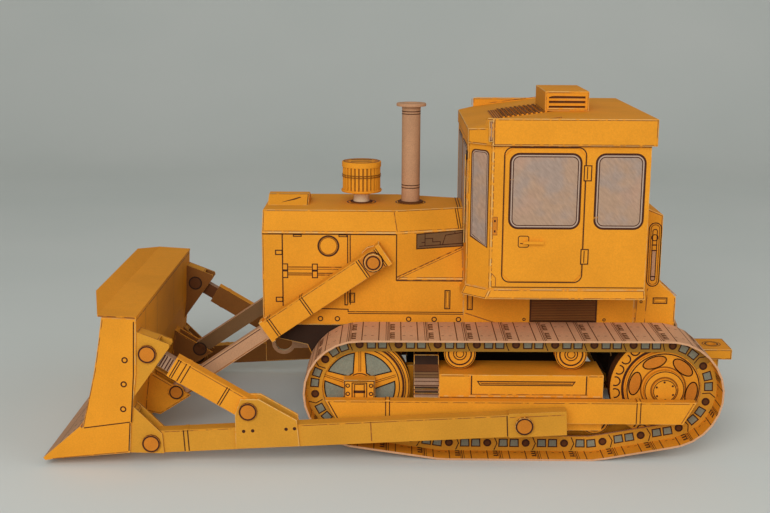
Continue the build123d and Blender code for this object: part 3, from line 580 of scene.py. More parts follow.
class Printing:
    """Marks printed on one piece: flat faces just above the card, each in one finish."""

    def __init__(self):
        self.bm, self.finishes = bmesh.new(), []

    def fill(self, sheet, points, name, lift=0.0):
        if name not in self.finishes:
            self.finishes.append(name)
        places = [sheet.place(p, PRINT_LIFT + lift) for p in points]
        face = self.bm.faces.new([self.bm.verts.new(p) for p in places])
        face.normal_update()
        if face.normal.dot(sheet.out) < 0:
            face.normal_flip()
        face.material_index = self.finishes.index(name)

    def stroke(self, sheet, points, name="ink", width=None, closed=False, lift=0.0):
        """A line of even width through the points, mitred at its bends."""
        half = (width or sizes().line / MM) / 2
        points = [Vector(p) for p in points]
        count = len(points)
        edges = []
        for i, point in enumerate(points):
            before = points[i - 1] if closed or i else None
            after = points[(i + 1) % count] if closed or i < count - 1 else None
            ways = [(point - before).normalized()] if before is not None else []
            ways += [(after - point).normalized()] if after is not None else []
            way = sum(ways, Vector((0, 0))).normalized()
            mitre = half / max(way.dot(ways[0]), 0.4)
            side = Vector((-way.y, way.x)) * mitre
            edges.append((point + side, point - side))
        for i in range(count if closed else count - 1):
            (a, b), (c, d) = edges[i], edges[(i + 1) % count]
            self.fill(sheet, (a, b, d, c), name, lift)

    def ring(self, sheet, centre, radius, name="ink", width=None, lift=0.0, count=28):
        points = arc(centre, radius, 0, 360 - 360 / count, count - 1)
        self.stroke(sheet, points, name, width, True, lift)

    def dot(self, sheet, centre, radius, name="ink", lift=0.0, count=16):
        self.fill(sheet, arc(centre, radius, 0, 360 - 360 / count, count - 1), name, lift)

    def bar(self, sheet, x0, x1, z0, z1, name="ink", lift=0.0):
        self.fill(sheet, ((x0, z0), (x1, z0), (x1, z1), (x0, z1)), name, lift)

    def box(self, sheet, x0, x1, z0, z1, name="ink", width=None, lift=0.0):
        self.stroke(sheet, ((x0, z0), (x1, z0), (x1, z1), (x0, z1)), name, width, True, lift)

    def outlined(self, sheet, points, name, width):
        """A filled shape with an ink line round it."""
        self.fill(sheet, points, name)
        self.stroke(sheet, points, "ink", width, True)

    def patch(self, sheet, x0, x1, z0, z1):
        """A small yellow part with an ink line round it, over other print."""
        self.bar(sheet, x0, x1, z0, z1, "yellow", 0.01)
        self.box(sheet, x0, x1, z0, z1, lift=0.02)

    def round_box(self, sheet, x0, x1, z0, z1, radius, name="ink", width=None):
        self.stroke(sheet, rounded(x0, x1, z0, z1, radius), name, width, True)

    def pin_end(self, sheet, place):
        """End of a pin on the plate's inner side, drawn in dark browns as painted shade of that
        side.
        """
        self.dot(sheet, place, 2.2, "brown", count=20)
        self.ring(sheet, place, 2.3, "dark", 0.5, 0.01)

    def bands(self, sheet, places, width, half, name="ink"):
        """Bars across a strut's side, each starting so far along it."""
        for place in places:
            self.bar(sheet, place, place + width, -half, half, name)

    def bolt(self, sheet, centre, radius=0.7):
        self.dot(sheet, centre, radius, "ink")
        self.dot(sheet, centre, radius * 0.45, "yellow", 0.01)

    def slot(self, sheet, x0, x1, z0, z1):
        """A printed slot: dark outline, and a second line inside."""
        self.box(sheet, x0, x1, z0, z1, "ink", 0.36)
        if min(x1 - x0, z1 - z0) > 1.5:
            self.box(sheet, x0 + 0.45, x1 - 0.45, z0 + 0.45, z1 - 0.45, "soft", 0.16)

    def pane(self, sheet, x0, x1, z0, z1, radius=2.6):
        """A printed window: dark seal, pale rim, thin line and scribbled glass."""
        layers = ((-0.45, "ink"), (0.2, "rim"), (0.6, "ink"), (0.9, "glass"))
        for i, (inset, name) in enumerate(layers):
            shape = rounded(x0 + inset, x1 - inset, z0 + inset, z1 - inset,
                            max(radius - inset, 0.4))
            self.fill(sheet, shape, name, 0.01 * i)

    def done(self, name, body="chassis", slot="dark_card"):
        piece = from_bmesh(name, self.bm, self.finishes)
        return settle(piece, body, slot)

    def fold_lines(self, node, inset=0.28, width=0.24, name="fold", keep=None):
        """Thin lines on both sides of a frame piece's sharp edges."""
        bm = card_body(node)
        for edge in bm.edges:
            if len(edge.link_faces) != 2 or edge.calc_face_angle(0) < math.radians(20):
                continue
            a, b = [(v.co - ORIGIN) / MM for v in edge.verts]
            for face in edge.link_faces:
                if keep and not keep((a + b) / 2, face.normal):
                    continue
                along = (b - a).normalized()
                inward = face.normal.cross(along)
                if inward.dot((face.calc_center_median() - ORIGIN) / MM - a) < 0:
                    inward = -inward
                sheet = Sheet(a, along, inward, face.normal)
                length = (b - a).length
                if length > 4 * inset:
                    self.bar(sheet, inset, length - inset, inset, inset + width, name)
        bm.free()


# Track: the loop round the wheels, its band, link strips and their print


class Loop:
    """A line along the track: arcs round four circles and straight runs between, told by length."""

    ROUNDS = (((-25.0, 9.0), 9.0), ((22.0, 9.0), 9.0), ((48.4, 21.5), 17.6), ((-47.6, 21.9), 17.6))
    BAND_T, LINK_H, LINK_T = 0.6, 5.6, 0.8
    LINK_MID, CHEVRON = 3.3, 2.2

    def __init__(self, count, first, folds=1, inset=0.0):
        """The line lies inset from the outside; its first pitch starts so far on the ground run."""
        rounds = [(Vector(c), r - inset) for c, r in self.ROUNDS]
        squares = []
        for (a, ra), (b, rb) in zip(rounds, rounds[1:] + rounds[:1]):
            run = b - a
            angle = math.atan2(run.y, run.x) + math.acos((rb - ra) / run.length)
            squares.append(Vector((math.cos(angle), math.sin(angle))))
        self.parts = []
        for i, (centre, radius) in enumerate(rounds):
            n_in, n_out = squares[i - 1], squares[i]
            turn = math.atan2(n_in.cross(n_out), n_in.dot(n_out)) % (2 * math.pi)
            self.parts.append(("arc", centre, radius, n_in, turn, radius * turn))
            start, (b, rb) = centre - n_out * radius, rounds[(i + 1) % len(rounds)]
            end = b - n_out * rb
            self.parts.append(("run", start, end, n_out, 0.0, (end - start).length))
        self.parts = self.parts[1:] + self.parts[:1]
        self.length = sum(p[5] for p in self.parts)
        self.pitch, self.count, self.folds, self.first = self.length / count, count, folds, first

    def at(self, s):
        """Place and inward direction at s from the first pitch."""
        s = (s + self.first) % self.length
        for kind, a, b, n, turn, length in self.parts:
            if s <= length:
                if kind == "run":
                    return a.lerp(b, s / length), n
                inward = Matrix.Rotation(turn * s / length, 2) @ n
                return a - inward * b, inward
            s -= length
        return self.at(0)

    def corners(self):
        return [self.at(i * self.pitch / self.folds) for i in range(self.count * self.folds)]

    def spot(self, s, depth, y):
        """Matrix of a place on the link strip: x along the line, z out of it, y to the left."""
        point, inward = self.at(s)
        point = point + inward * depth
        turn = math.atan2(inward.y, inward.x) - math.pi / 2
        return Matrix.LocRotScale(metres((point.x, y, point.y)), Euler((0, -turn, 0)), None)

    def facet(self, i, y):
        """Matrix of the flat facet after fold i: x along it, y to the left, z out of the loop."""
        a, _ = self.at(i * self.pitch / self.folds)
        b, _ = self.at((i + 1) * self.pitch / self.folds)
        run = b - a
        turn = math.atan2(run.y, run.x)
        return Matrix.LocRotScale(metres((a.x, y, a.y)), Euler((math.pi, -turn, 0), "XYZ"), None)


def track_mesh(loop, band, strip):
    """Band and two link strips as flat facets.

    Finish 0 is outside, 1 inside, 2 on cut edges, 3 on links and 4 on the links of the top run, a
    darker copy that paints the shade under the band.
    """
    bm = bmesh.new()
    corners = loop.corners()

    def ring(depth, y):
        return [bm.verts.new(metres((p.x + n.x * depth, y, p.y + n.y * depth))) for p, n in corners]

    def wall(a, b, index):
        for i in range(len(a)):
            j = (i + 1) % len(a)
            # links on the top run take the darker finish: painted shade under the band
            top = index == 3 and corners[i][1].y < -0.7
            bm.faces.new((a[i], a[j], b[j], b[i])).material_index = 4 if top else index

    def hoop(depth0, depth1, y0, y1, outside, inside, edge, face):
        o0, o1, i0, i1 = ring(depth0, y0), ring(depth0, y1), ring(depth1, y0), ring(depth1, y1)
        wall(o0, o1, outside)
        wall(i1, i0, inside)
        wall(i0, o0, edge)
        wall(o1, i1, face)

    hoop(0, loop.BAND_T, band[0], band[1], 0, 1, 2, 2)
    hoop(loop.BAND_T, loop.LINK_H, strip[1] - loop.LINK_T, strip[1], 3, 2, 1, 3)
    hoop(loop.BAND_T, loop.LINK_H, strip[0], strip[0] + loop.LINK_T, 3, 2, 3, 1)
    bmesh.ops.recalc_face_normals(bm, faces=bm.faces)
    return bm


def flat_marks(marks):
    """A shape of rectangles (x0, x1, y0, y1) lying in its own X and Y, facing up, in metres."""
    bm = bmesh.new()
    for x0, x1, y0, y1 in marks:
        corners = ((x0, y0), (x1, y0), (x1, y1), (x0, y1))
        bm.faces.new([bm.verts.new((x * MM, y * MM, 0)) for x, y in corners])
    return bm


class CRAWLER_OT_tracks(bpy.types.Operator):
    """Shoe bands, link strips and their printed shoes, windows and pins"""
    bl_idname = "crawler.tracks"
    bl_label = "Tracks"

    def execute(self, context):
        loop = Loop(sizes().shoes, 8.3, sizes().folds)
        low, high = extent("track_left")
        band = (low.y, high.y)
        wheel = extent("idlers")[1].y
        seat = 1.1        # from the wheels' faces to the outside of the link strips
        strip = (band[0] + band[1] - wheel - seat, wheel + seat)
        for name, side in (("track_left", 1), ("track_right", -1)):
            bm = track_mesh(loop, band, strip)
            if side < 0:
                bmesh.ops.scale(bm, verts=bm.verts, vec=(1, -1, 1))
                bmesh.ops.reverse_faces(bm, faces=bm.faces)
            looks = ["shoe", "yellow", "shoe", "olive", "link"]
            settle(from_bmesh(name + "_card", bm, looks), "chassis", "yellow_card", name)
        self.print_shoes(loop, band)
        self.print_links(Loop(sizes().links, 8.0, inset=Loop.LINK_MID), strip[1])
        return {"FINISHED"}

    def print_shoes(self, loop, band):
        """Three printed facets make a shoe: plate with bolt marks, rib, and the overlap's comb."""
        width = band[1] - band[0]
        comb = [(0.85, 1.15, y, y + 6.6) for y in (2.2, 11.8)]
        comb += [(1.1, 2.3, y + 1.83 * i, y + 1.83 * i + 1.1)
                 for y in (2.2, 11.8) for i in range(4)]
        bolts = [(x, x + 0.8, y, y + 0.34) for x in (0.7, 3.0) for y in (5.2, 15.6)]
        plans = {
            "joint": [(0.0, 0.26, 0, width), (0.5, 0.66, 0, width)] + comb,
            "plate": [(0.0, 0.3, 0, width)] + bolts,
            "ridge": [(1.2, 1.5, 0, width), (3.5, 3.68, 0, width)],
        }
        raised = Matrix.Translation((0, 0, PRINT_LIFT * MM))
        deep = Matrix.Translation((0, 0, -(loop.BAND_T + 0.06) * MM))
        for k, (name, marks) in enumerate(plans.items()):
            folds = [loop.folds * i + (k + 2) % 3 for i in range(loop.count)]
            outside = [loop.facet(i, band[1]) @ raised for i in folds]
            under = flat_marks(marks)
            bmesh.ops.reverse_faces(under, faces=under.faces)
            for kind, shape, places in (("_lines", flat_marks(marks), outside),
                                        ("_inside_lines", under, [m @ deep for m in outside])):
                piece = repeated("shoe_" + name + kind, shape, places, "brown", mirrored=True)
                settle(piece, "chassis", "dark_card")

    def print_links(self, loop, y):
        """Windows, pins and the seams between links, printed on the outer strips."""
        places = [loop.spot(i * loop.pitch + s, 0, y)
                  for i in range(loop.count) for s in (3.7, 7.2)]
        for name, look, slot, grow, lift in (("link_window_lines", "ink", "dark_card", 0.16, 0.02),
                                             ("link_windows", "pane", "grey_card", -0.22, 0.035)):
            w, h = 1.4 + grow, 1.25 + grow
            points = ((-w, -h), (w, -h), (w - 0.12, h), (0.12 - w, h))
            bm = bmesh.new()
            bm.faces.new([bm.verts.new((a * MM, lift * MM, b * MM)) for a, b in reversed(points)])
            settle(repeated(name, bm, places, look, mirrored=True), "chassis", slot)
        pins = [loop.spot(i * loop.pitch, 0, y) for i in range(loop.count)]
        for name, radius, lift, look in (("link_pin_rings", 1.3, 0.1, "ink"),
                                         ("link_pins", 0.75, 0.2, "brown")):
            steps = ((0, -0.1), (radius, -0.1), (radius, lift), (0, lift))
            head = turned_disc([(r * MM, h * MM) for r, h in steps], 16, "Y")
            settle(repeated(name, head, pins, look, mirrored=True), "chassis", "dark_card")
        seam = bmesh.new()
        half, reach, line = 2.2, 0.9, 0.17
        for sign in SIDES:
            tip, end, rise = -loop.CHEVRON - reach, -loop.CHEVRON, sign * half
            quad = ((tip - line, 0), (end - line, rise), (end + line, rise), (tip + line, 0))
            face = seam.faces.new([seam.verts.new((a * MM, PRINT_LIFT * MM, b * MM))
                                   for a, b in quad])
            face.normal_update()
            if face.normal.y < 0:
                face.normal_flip()
        middle = (loop.BAND_T + loop.LINK_H) / 2 - loop.LINK_MID
        mids = [loop.spot(i * loop.pitch, middle, y) for i in range(loop.count)]
        settle(repeated("link_seams", seam, mids, "ink", mirrored=True), "chassis", "dark_card")


# Wheels


class CRAWLER_OT_wheels(bpy.types.Operator):
    """Idlers, sprockets and rollers with their printed faces"""
    bl_idname = "crawler.wheels"
    bl_label = "Wheels"
    BACK, ROUNDING = 28.0, 0.12       # inner face of every wheel, and the rounding of its edges
    LOBE_R, LOBE_Y, HUB_R, HUB_Y, COVER_R, COVER_Y = 11.9, 34.2, 6.4, 36.0, 3.85, 36.8

    def execute(self, context):
        low, high = extent("sprockets")
        self.sprocket, self.sprocket_r = middle_of("sprockets"), (high.x - low.x) / 2
        low, high = extent("idlers")
        self.idler, self.idler_r, self.face_y = middle_of("idlers"), (high.x - low.x) / 2, high.y
        self.discs()
        self.print_idler()
        self.print_sprocket()
        self.rollers()
        return {"FINISHED"}

    def discs(self):
        """Idler as one disc, sprocket as a stack of smaller and smaller ones."""
        back, front, less = self.BACK, self.face_y, self.ROUNDING
        wide, rim = self.idler_r, self.sprocket_r
        idler = [(0, back), (wide - 0.2, back), (wide, back + 0.3), (wide, front - 0.2),
                 (wide - 0.15, front), (0, front)]
        sprocket = [(0, back), (rim, back), (rim, front - 0.1), (rim - 0.15, front)]
        below = front
        for radius, y in ((self.LOBE_R, self.LOBE_Y), (self.HUB_R, self.HUB_Y),
                          (self.COVER_R, self.COVER_Y)):
            sprocket += [(radius, below), (radius, y - less), (radius - less, y)]
            below = y
        sprocket.append((0, below))
        for name, node, centre, steps in (("idler_card", "idlers", self.idler, idler),
                                          ("sprocket_card", "sprockets", self.sprocket, sprocket)):
            bm = turned_disc([(r * MM, y * MM) for r, y in steps], 72, "Y")
            middle = metres((centre[0], 0, centre[1]))
            bmesh.ops.translate(bm, verts=bm.verts, vec=middle)
            for face in bm.faces:
                radial = (face.calc_center_median() - middle) / MM
                outer = math.hypot(radial.x, radial.z) > wide - 0.9
                face.material_index = int(outer and abs(face.normal.y) < 0.5)
            join_mirrored(bm)
            settle(from_bmesh(name, bm, ["yellow", "brown"]), "chassis", "yellow_card", node)

    def print_idler(self):
        """Five spokes between grey printed openings, and the rim's concentric lines."""
        marks, hub, window, half = Printing(), 4.9, 11.2, 1.7
        outer, inner = [math.degrees(math.asin(s)) for s in (half / window, half * 1.25 / hub)]
        for side in SIDES:
            sheet = side_sheet(side * self.face_y)
            for radius, width in ((15.6, 0.3), (14.6, 0.3), (13.9, 0.5), (12.6, 0.3)):
                marks.ring(sheet, self.idler, radius, "ink", width, count=64)
            marks.ring(sheet, self.idler, 13.9, "soft", 0.8, -0.01, 64)
            for start in range(90, 450, 72):
                shape = arc(self.idler, window, start + outer, start + 72 - outer, 14)
                shape += arc(self.idler, hub, start + 72 - inner, start + inner, 6)
                marks.outlined(sheet, shape, "pane", 0.4)
                way, square = spoke(start)
                for shift in (-0.28, 0.28):
                    centre = Vector(self.idler)
                    line = [centre + way * r + square * shift for r in (hub, window + 0.8)]
                    marks.stroke(sheet, line, "soft", 0.26)
            marks.ring(sheet, self.idler, 4.3, "ink", 0.35)
            marks.ring(sheet, self.idler, 3.5, "soft", 0.5)
        marks.done("idler_print")

    def print_sprocket(self):
        """Round tooth gaps at the rim, ellipses in the disc, bolts in the cover."""
        marks, centre = Printing(), Vector(self.sprocket)
        for side in SIDES:
            rim, lobes, hub, cover = [side_sheet(side * y) for y in (
                self.face_y, self.LOBE_Y, self.HUB_Y, self.COVER_Y)]
            for i in range(24):
                turn = 15 * i + 7.5
                at = spoke(turn)[0] * (self.sprocket_r - 1.5) + centre
                marks.stroke(rim, arc(at, 1.45, turn + 70, turn + 290, 12), "ink", 0.46)
            marks.ring(rim, centre, 12.7, "ink", 0.8, count=64)
            marks.ring(lobes, centre, self.LOBE_R - 0.5, "ink", 0.4, count=64)
            for i in range(6):
                marks.outlined(lobes, self.ellipse(10 + 60 * i), "orange", 0.4)
            marks.ring(lobes, centre, self.HUB_R + 0.7, "soft", 0.45, count=48)
            marks.ring(hub, centre, self.HUB_R - 0.3, "ink", 0.3, count=48)
            marks.ring(hub, centre, self.COVER_R + 0.35, "soft", 0.5, count=40)
            marks.ring(cover, centre, self.COVER_R - 0.3, "ink", 0.26, count=40)
            for i in range(6):
                marks.dot(cover, spoke(60 * i + 25)[0] * 2.9 + centre, 0.36, count=12)
        marks.done("sprocket_print")

    def ellipse(self, angle):
        """One printed opening, longer round the hub than out from it."""
        way, square = spoke(angle)
        centre = Vector(self.sprocket) + way * 9.1
        turns = [2 * math.pi * i / 24 for i in range(24)]
        return [centre + way * 1.85 * math.cos(t) + square * 3.8 * math.sin(t) for t in turns]

    def rollers(self):
        """Six track rollers and two carrier rollers on each side, with their rings."""
        start = extent("roller_frames")[0].x + 1.3
        rows = (("track_rollers", 4.7, 10.6, [start + 10.8 * i for i in range(6)], ["rollers"]),
                ("carrier_rollers", 5.0, 32.6, [16.8, -18.3], []))
        marks = Printing()
        for name, radius, z, xs, nodes in rows:
            steps = ((0, 0), (radius, 0), (radius, 5.1), (radius - self.ROUNDING, 5.2), (0, 5.2))
            wheel = turned_disc([(r * MM, y * MM) for r, y in steps], 40, "Y")
            spots = [Matrix.Translation(metres((x, self.BACK, z))) for x in xs]
            piece = repeated(name, wheel, spots, "yellow", mirrored=True)
            settle(piece, "chassis", "yellow_card", *nodes)
            for side in SIDES:
                sheet = side_sheet(side * self.face_y)
                for x in xs:
                    for share, width in ((0.93, 0.3), (0.72, 0.5), (0.40, 0.34), (0.24, 0.3)):
                        marks.ring(sheet, (x, z), radius * share, "ink", width, count=36)
        marks.done("roller_print")


# Body: hull, lower body, tank and the small pieces on them


class CRAWLER_OT_body(bpy.types.Operator):
    """Hull, lower body with louvres, rear tank, drawbar and tow hook"""
    bl_idname = "crawler.body"
    bl_label = "Body"

    def execute(self, context):
        folded("hull", ["dark"], slot="dark_card")
        # faces looking down are painted dark: painted shade under the body
        folded("lower_body", ["yellow", "dark"], underneath)
        for node in ("rear_tank", "drawbar"):
            folded(node)
        folded("tow_hook", ["tan", "cut"], rims(1), slot="tan_card")
        folded("louvre_panels", ["brown"], slot="dark_card")
        marks = Printing()
        for side in SIDES:
            sheet = outer_sheet("lower_body", side)
            marks.stroke(sheet, ((14.5, 42.2), (4.8, 39.0), (-5.2, 38.6)), "fold")
            marks.slot(sheet, 12.3, 13.9, 43.4, 51.0)
            for x in (-30.6, -4.6):
                marks.bolt(sheet, (x, 40.2), 0.55)
            self.print_tank(marks, sheet)
            self.print_louvres(marks, outer_sheet("louvre_panels", side))
        self.print_rear(marks)
        marks.done("body_print")
        return {"FINISHED"}

    def print_tank(self, marks, sheet):
        """Sight glass in a long oval, hand slot and panel lines."""
        for x in (-40.6, -43.7):
            marks.stroke(sheet, ((x, 38.4), (x - 0.5, 50.8)), "fold")
        marks.bolt(sheet, (-42.3, 46.4), 0.5)
        marks.slot(sheet, -50.6, -46.2, 45.9, 47.7)
        marks.round_box(sheet, -47.6, -43.7, 51.6, 72.4, 1.9)
        marks.round_box(sheet, -47.0, -44.3, 52.2, 71.8, 1.3, "soft", 0.3)
        marks.fill(sheet, rounded(-46.3, -44.9, 53.5, 63.2, 0.6), "tan")
        marks.round_box(sheet, -46.3, -44.9, 53.5, 70.3, 0.6, "ink", 0.28)
        for z in (54.6, 63.2, 65.0):
            marks.bar(sheet, -46.5, -44.7, z, z + 0.4, "ink", 0.01)
        marks.ring(sheet, (-45.6, 67.6), 1.0, "ink", 0.3)

    def print_louvres(self, marks, sheet):
        low, high = extent("louvre_panels")
        count = 20
        pitch = (high.z - low.z) / count
        for i in range(count):
            z = low.z + pitch * (i + 0.5)
            marks.bar(sheet, low.x + 0.6, high.x - 0.6, z, z + 0.2, "shade")
        marks.box(sheet, low.x + 0.3, high.x - 0.3, low.z + 0.3, high.z - 0.3)

    def print_rear(self, marks):
        """Tank lid frame and bolts behind, ring round the drawbar's hole."""
        step = end_sheet(extent("rear_tank")[0].x, -1)
        marks.round_box(step, -16, 16, 39.6, 46.4, 1.2)
        for y in (-14, 14):
            for z in (41, 45):
                marks.bolt(step, (y, z), 0.6)
        back = end_sheet(extent("cab")[0].x - 8.0, -1)
        marks.round_box(back, -17.5, 17.5, 55.0, 73.2, 2.0)
        for side in SIDES:
            marks.round_box(back, side * 8.5 - 6.5, side * 8.5 + 6.5, 57.0, 71.0, 1.2)
            marks.slot(back, side * 3.2 - 0.5, side * 3.2 + 0.5, 62.0, 66.0)
        bar = top_sheet(extent("drawbar")[1].z)
        marks.ring(bar, (-71.4, 0), 2.1, "ink", 0.5)
        marks.ring(bar, (-71.4, 0), 3.0, "soft", 0.4)
        marks.fold_lines("drawbar")
        marks.fold_lines("rear_tank", keep=on_sides)


class CRAWLER_OT_hood(bpy.types.Operator):
    """Hood with its printed doors, pipe, openings and grille"""
    bl_idname = "crawler.hood"
    bl_label = "Hood"
    SKIRT_BOLTS = (67.7, 61.6, 56.1, 32.9, 24.6, 16.7)
    SEAM, NECK, TOP = 68.6, 37.0, 75.2

    def execute(self, context):
        # faces looking down are painted dark: painted shade under the hood
        folded("hood", ["yellow", "dark"], underneath)
        folded("hood_cap")
        self.low, self.high = extent("hood")
        marks = Printing()
        for side in SIDES:
            self.print_door(marks, outer_sheet("hood", side))
            self.print_flank(marks, outer_sheet("hood", side))
            self.print_neck(marks, side)
        self.print_top(marks)
        self.print_grille(marks, end_sheet(self.high.x))
        marks.fold_lines("hood", keep=lambda mid, normal: abs(normal.y) > 0.4 and mid.z > 50)
        marks.done("hood_print")
        return {"FINISHED"}

    def print_door(self, marks, sheet):
        """Engine door: hinges, latches, round port and the clamped pipe."""
        marks.stroke(sheet, ((73.7, 44.2), (73.7, self.SEAM - 0.4)), "ink", 0.4)
        marks.bar(sheet, self.NECK, self.high.x - 0.2, self.SEAM - 0.75, self.SEAM - 0.4)
        for z in (61.3, 45.7):
            marks.slot(sheet, 73.8, 75.9, z, z + 1.4)
        for x in (67.6, 53.0):
            marks.box(sheet, x, x + 2.5, self.SEAM - 1.3, self.SEAM - 0.75, "ink", 0.3)
        marks.ring(sheet, (58.9, 64.2), 3.25, "ink", 0.55, count=40)
        marks.ring(sheet, (58.9, 64.2), 2.75, "soft", 0.3, count=40)
        for x in (51.9, 52.7):
            marks.stroke(sheet, ((x, 44.8), (x, self.SEAM - 0.8)))
        for z, name, width in ((57.2, "soft", 0.4), (56.5, "soft", 0.24), (55.2, "ink", 0.3),
                               (54.6, "soft", 0.4)):
            marks.stroke(sheet, ((72.4, z), (54.0, z)), name, width)
        for x in (72.1, 62.5):
            marks.patch(sheet, x, x + 1.6, 53.7, 58.2)
            marks.bar(sheet, x, x + 1.6, 55.7, 56.4, "ink", 0.02)
        hook = ((53.6, 50.0), (52.9, 50.0), (53.6, 50.0), (53.6, 44.7), (52.7, 44.7))
        marks.stroke(sheet, hook, "ink", 0.4)
        marks.slot(sheet, 50.5, 52.1, 45.6, 48.6)

    def print_flank(self, marks, sheet):
        """Skirt with its bolts, sill lines and the plain panel towards the cab."""
        marks.stroke(sheet, ((61.5, 43.4), (52.6, 43.2), (52.6, 42.3)))
        for z in (42.4, 41.8):
            marks.stroke(sheet, ((52.6, z), (self.low.x, z)), "ink", 0.28)
        for x in self.SKIRT_BOLTS:
            marks.ring(sheet, (x, 40.0), 0.72, "ink", 0.36, count=16)
        marks.stroke(sheet, ((self.NECK, 52.9), (self.NECK, self.SEAM - 0.5)), "ink", 0.36)
        marks.stroke(sheet, ((self.NECK, 52.9), (self.low.x, 52.9)))
        marks.slot(sheet, 19.6, 21.2, 43.6, 49.7)

    def print_neck(self, marks, side):
        """The drawn-in wall with its opening, and the lines over the chamfer."""
        y, inner = self.high.y, 13.0
        run = (self.low.x - self.NECK, side * (inner - y), 0)
        wall = Sheet((self.NECK, side * y, 53.6), run, (0, 0, 1), (0, side, 0))
        shape = ((6.8, 9.4), (22.6, 9.5), (22.6, 14.7), (6.8, 14.2))
        marks.outlined(wall, shape, "umber", 0.36)
        for line in (((7.6, 10.2), (22.4, 10.4)), ((9.6, 10.2), (9.6, 14.2)),
                     ((8.4, 11.4), (9.6, 11.4)),
                     ((9.6, 12.6), (12.2, 12.6), (12.2, 11.4), (14.8, 11.4), (14.8, 10.3)),
                     ((15.6, 10.3), (16.6, 13.4), (22.4, 14.0)), ((19.8, 13.6), (19.8, 14.6))):
            marks.stroke(wall, line, "ink", 0.28, lift=0.01)
        low, high = Vector((self.NECK, side * y, 53.6)), Vector((self.low.x, side * inner, 62.5))
        crease = Sheet(low, high - low, (0, 0, 1), (0, side, 0))
        length = (high - low).length
        for i in range(12):
            start = length * i / 12
            marks.bar(crease, start + 0.3, start + length / 12 - 0.3, 0.1, 0.38, "fold")
        corner = Vector((self.NECK, side * y, self.SEAM))
        slope = Vector((self.NECK, side * 15.5, self.TOP)) - corner
        cheek = Sheet(corner, run, slope, (0, side, 1))
        for u in (21.0, 21.8):
            marks.bar(cheek, u, u + 0.3, 0.3, slope.length - 0.3)
        marks.bar(cheek, 0.1, 0.4, 0.3, slope.length - 0.3, "fold")

    def print_top(self, marks):
        """Lines on the hood's top and the pointed mark on its front cap."""
        top, (low, high) = top_sheet(self.TOP), extent("hood_cap")
        cap = Sheet((low.x, 7.6, self.TOP), (1, 0, 0), (0, 2.0 - 7.6, high.z - self.TOP), (0, 1, 1))
        for x in (16.1, 16.9):
            marks.bar(top, x, x + 0.3, -9.4, 9.4)
        for x, radius in ((48.8, 4.7), (32.4, 4.9)):
            marks.ring(top, (x, 0), radius, "ink", 0.4)
        marks.fill(cap, ((9.0, 1.5), (8.4, 1.9), (3.0, 4.6), (2.6, 4.2), (4.6, 3.0)), "brown")
        marks.bar(cap, 0.2, high.x - low.x - 0.2, 5.9, 6.2, "fold")
        marks.bar(cap, 0.25, 0.5, 0.2, 6.0)

    def print_grille(self, marks, sheet):
        """Printed slats before the radiator."""
        marks.fill(sheet, rounded(-14.6, 14.6, 42.6, 66.4, 1.5), "brown", -0.01)
        marks.round_box(sheet, -15.2, 15.2, 42.0, 67.0, 1.9, "ink", 0.4)
        slats = 15
        pitch = 23.0 / slats
        for i in range(slats):
            for side in SIDES:
                a, b = sorted((side * 0.8, side * 14.2))
                marks.bar(sheet, a, b, 43.1 + pitch * i, 43.1 + pitch * (i + 0.55), "olive", 0.005)
        for side in SIDES:
            for z in (40.6, 68.4):
                marks.bolt(sheet, (side * 16.6, z), 0.6)


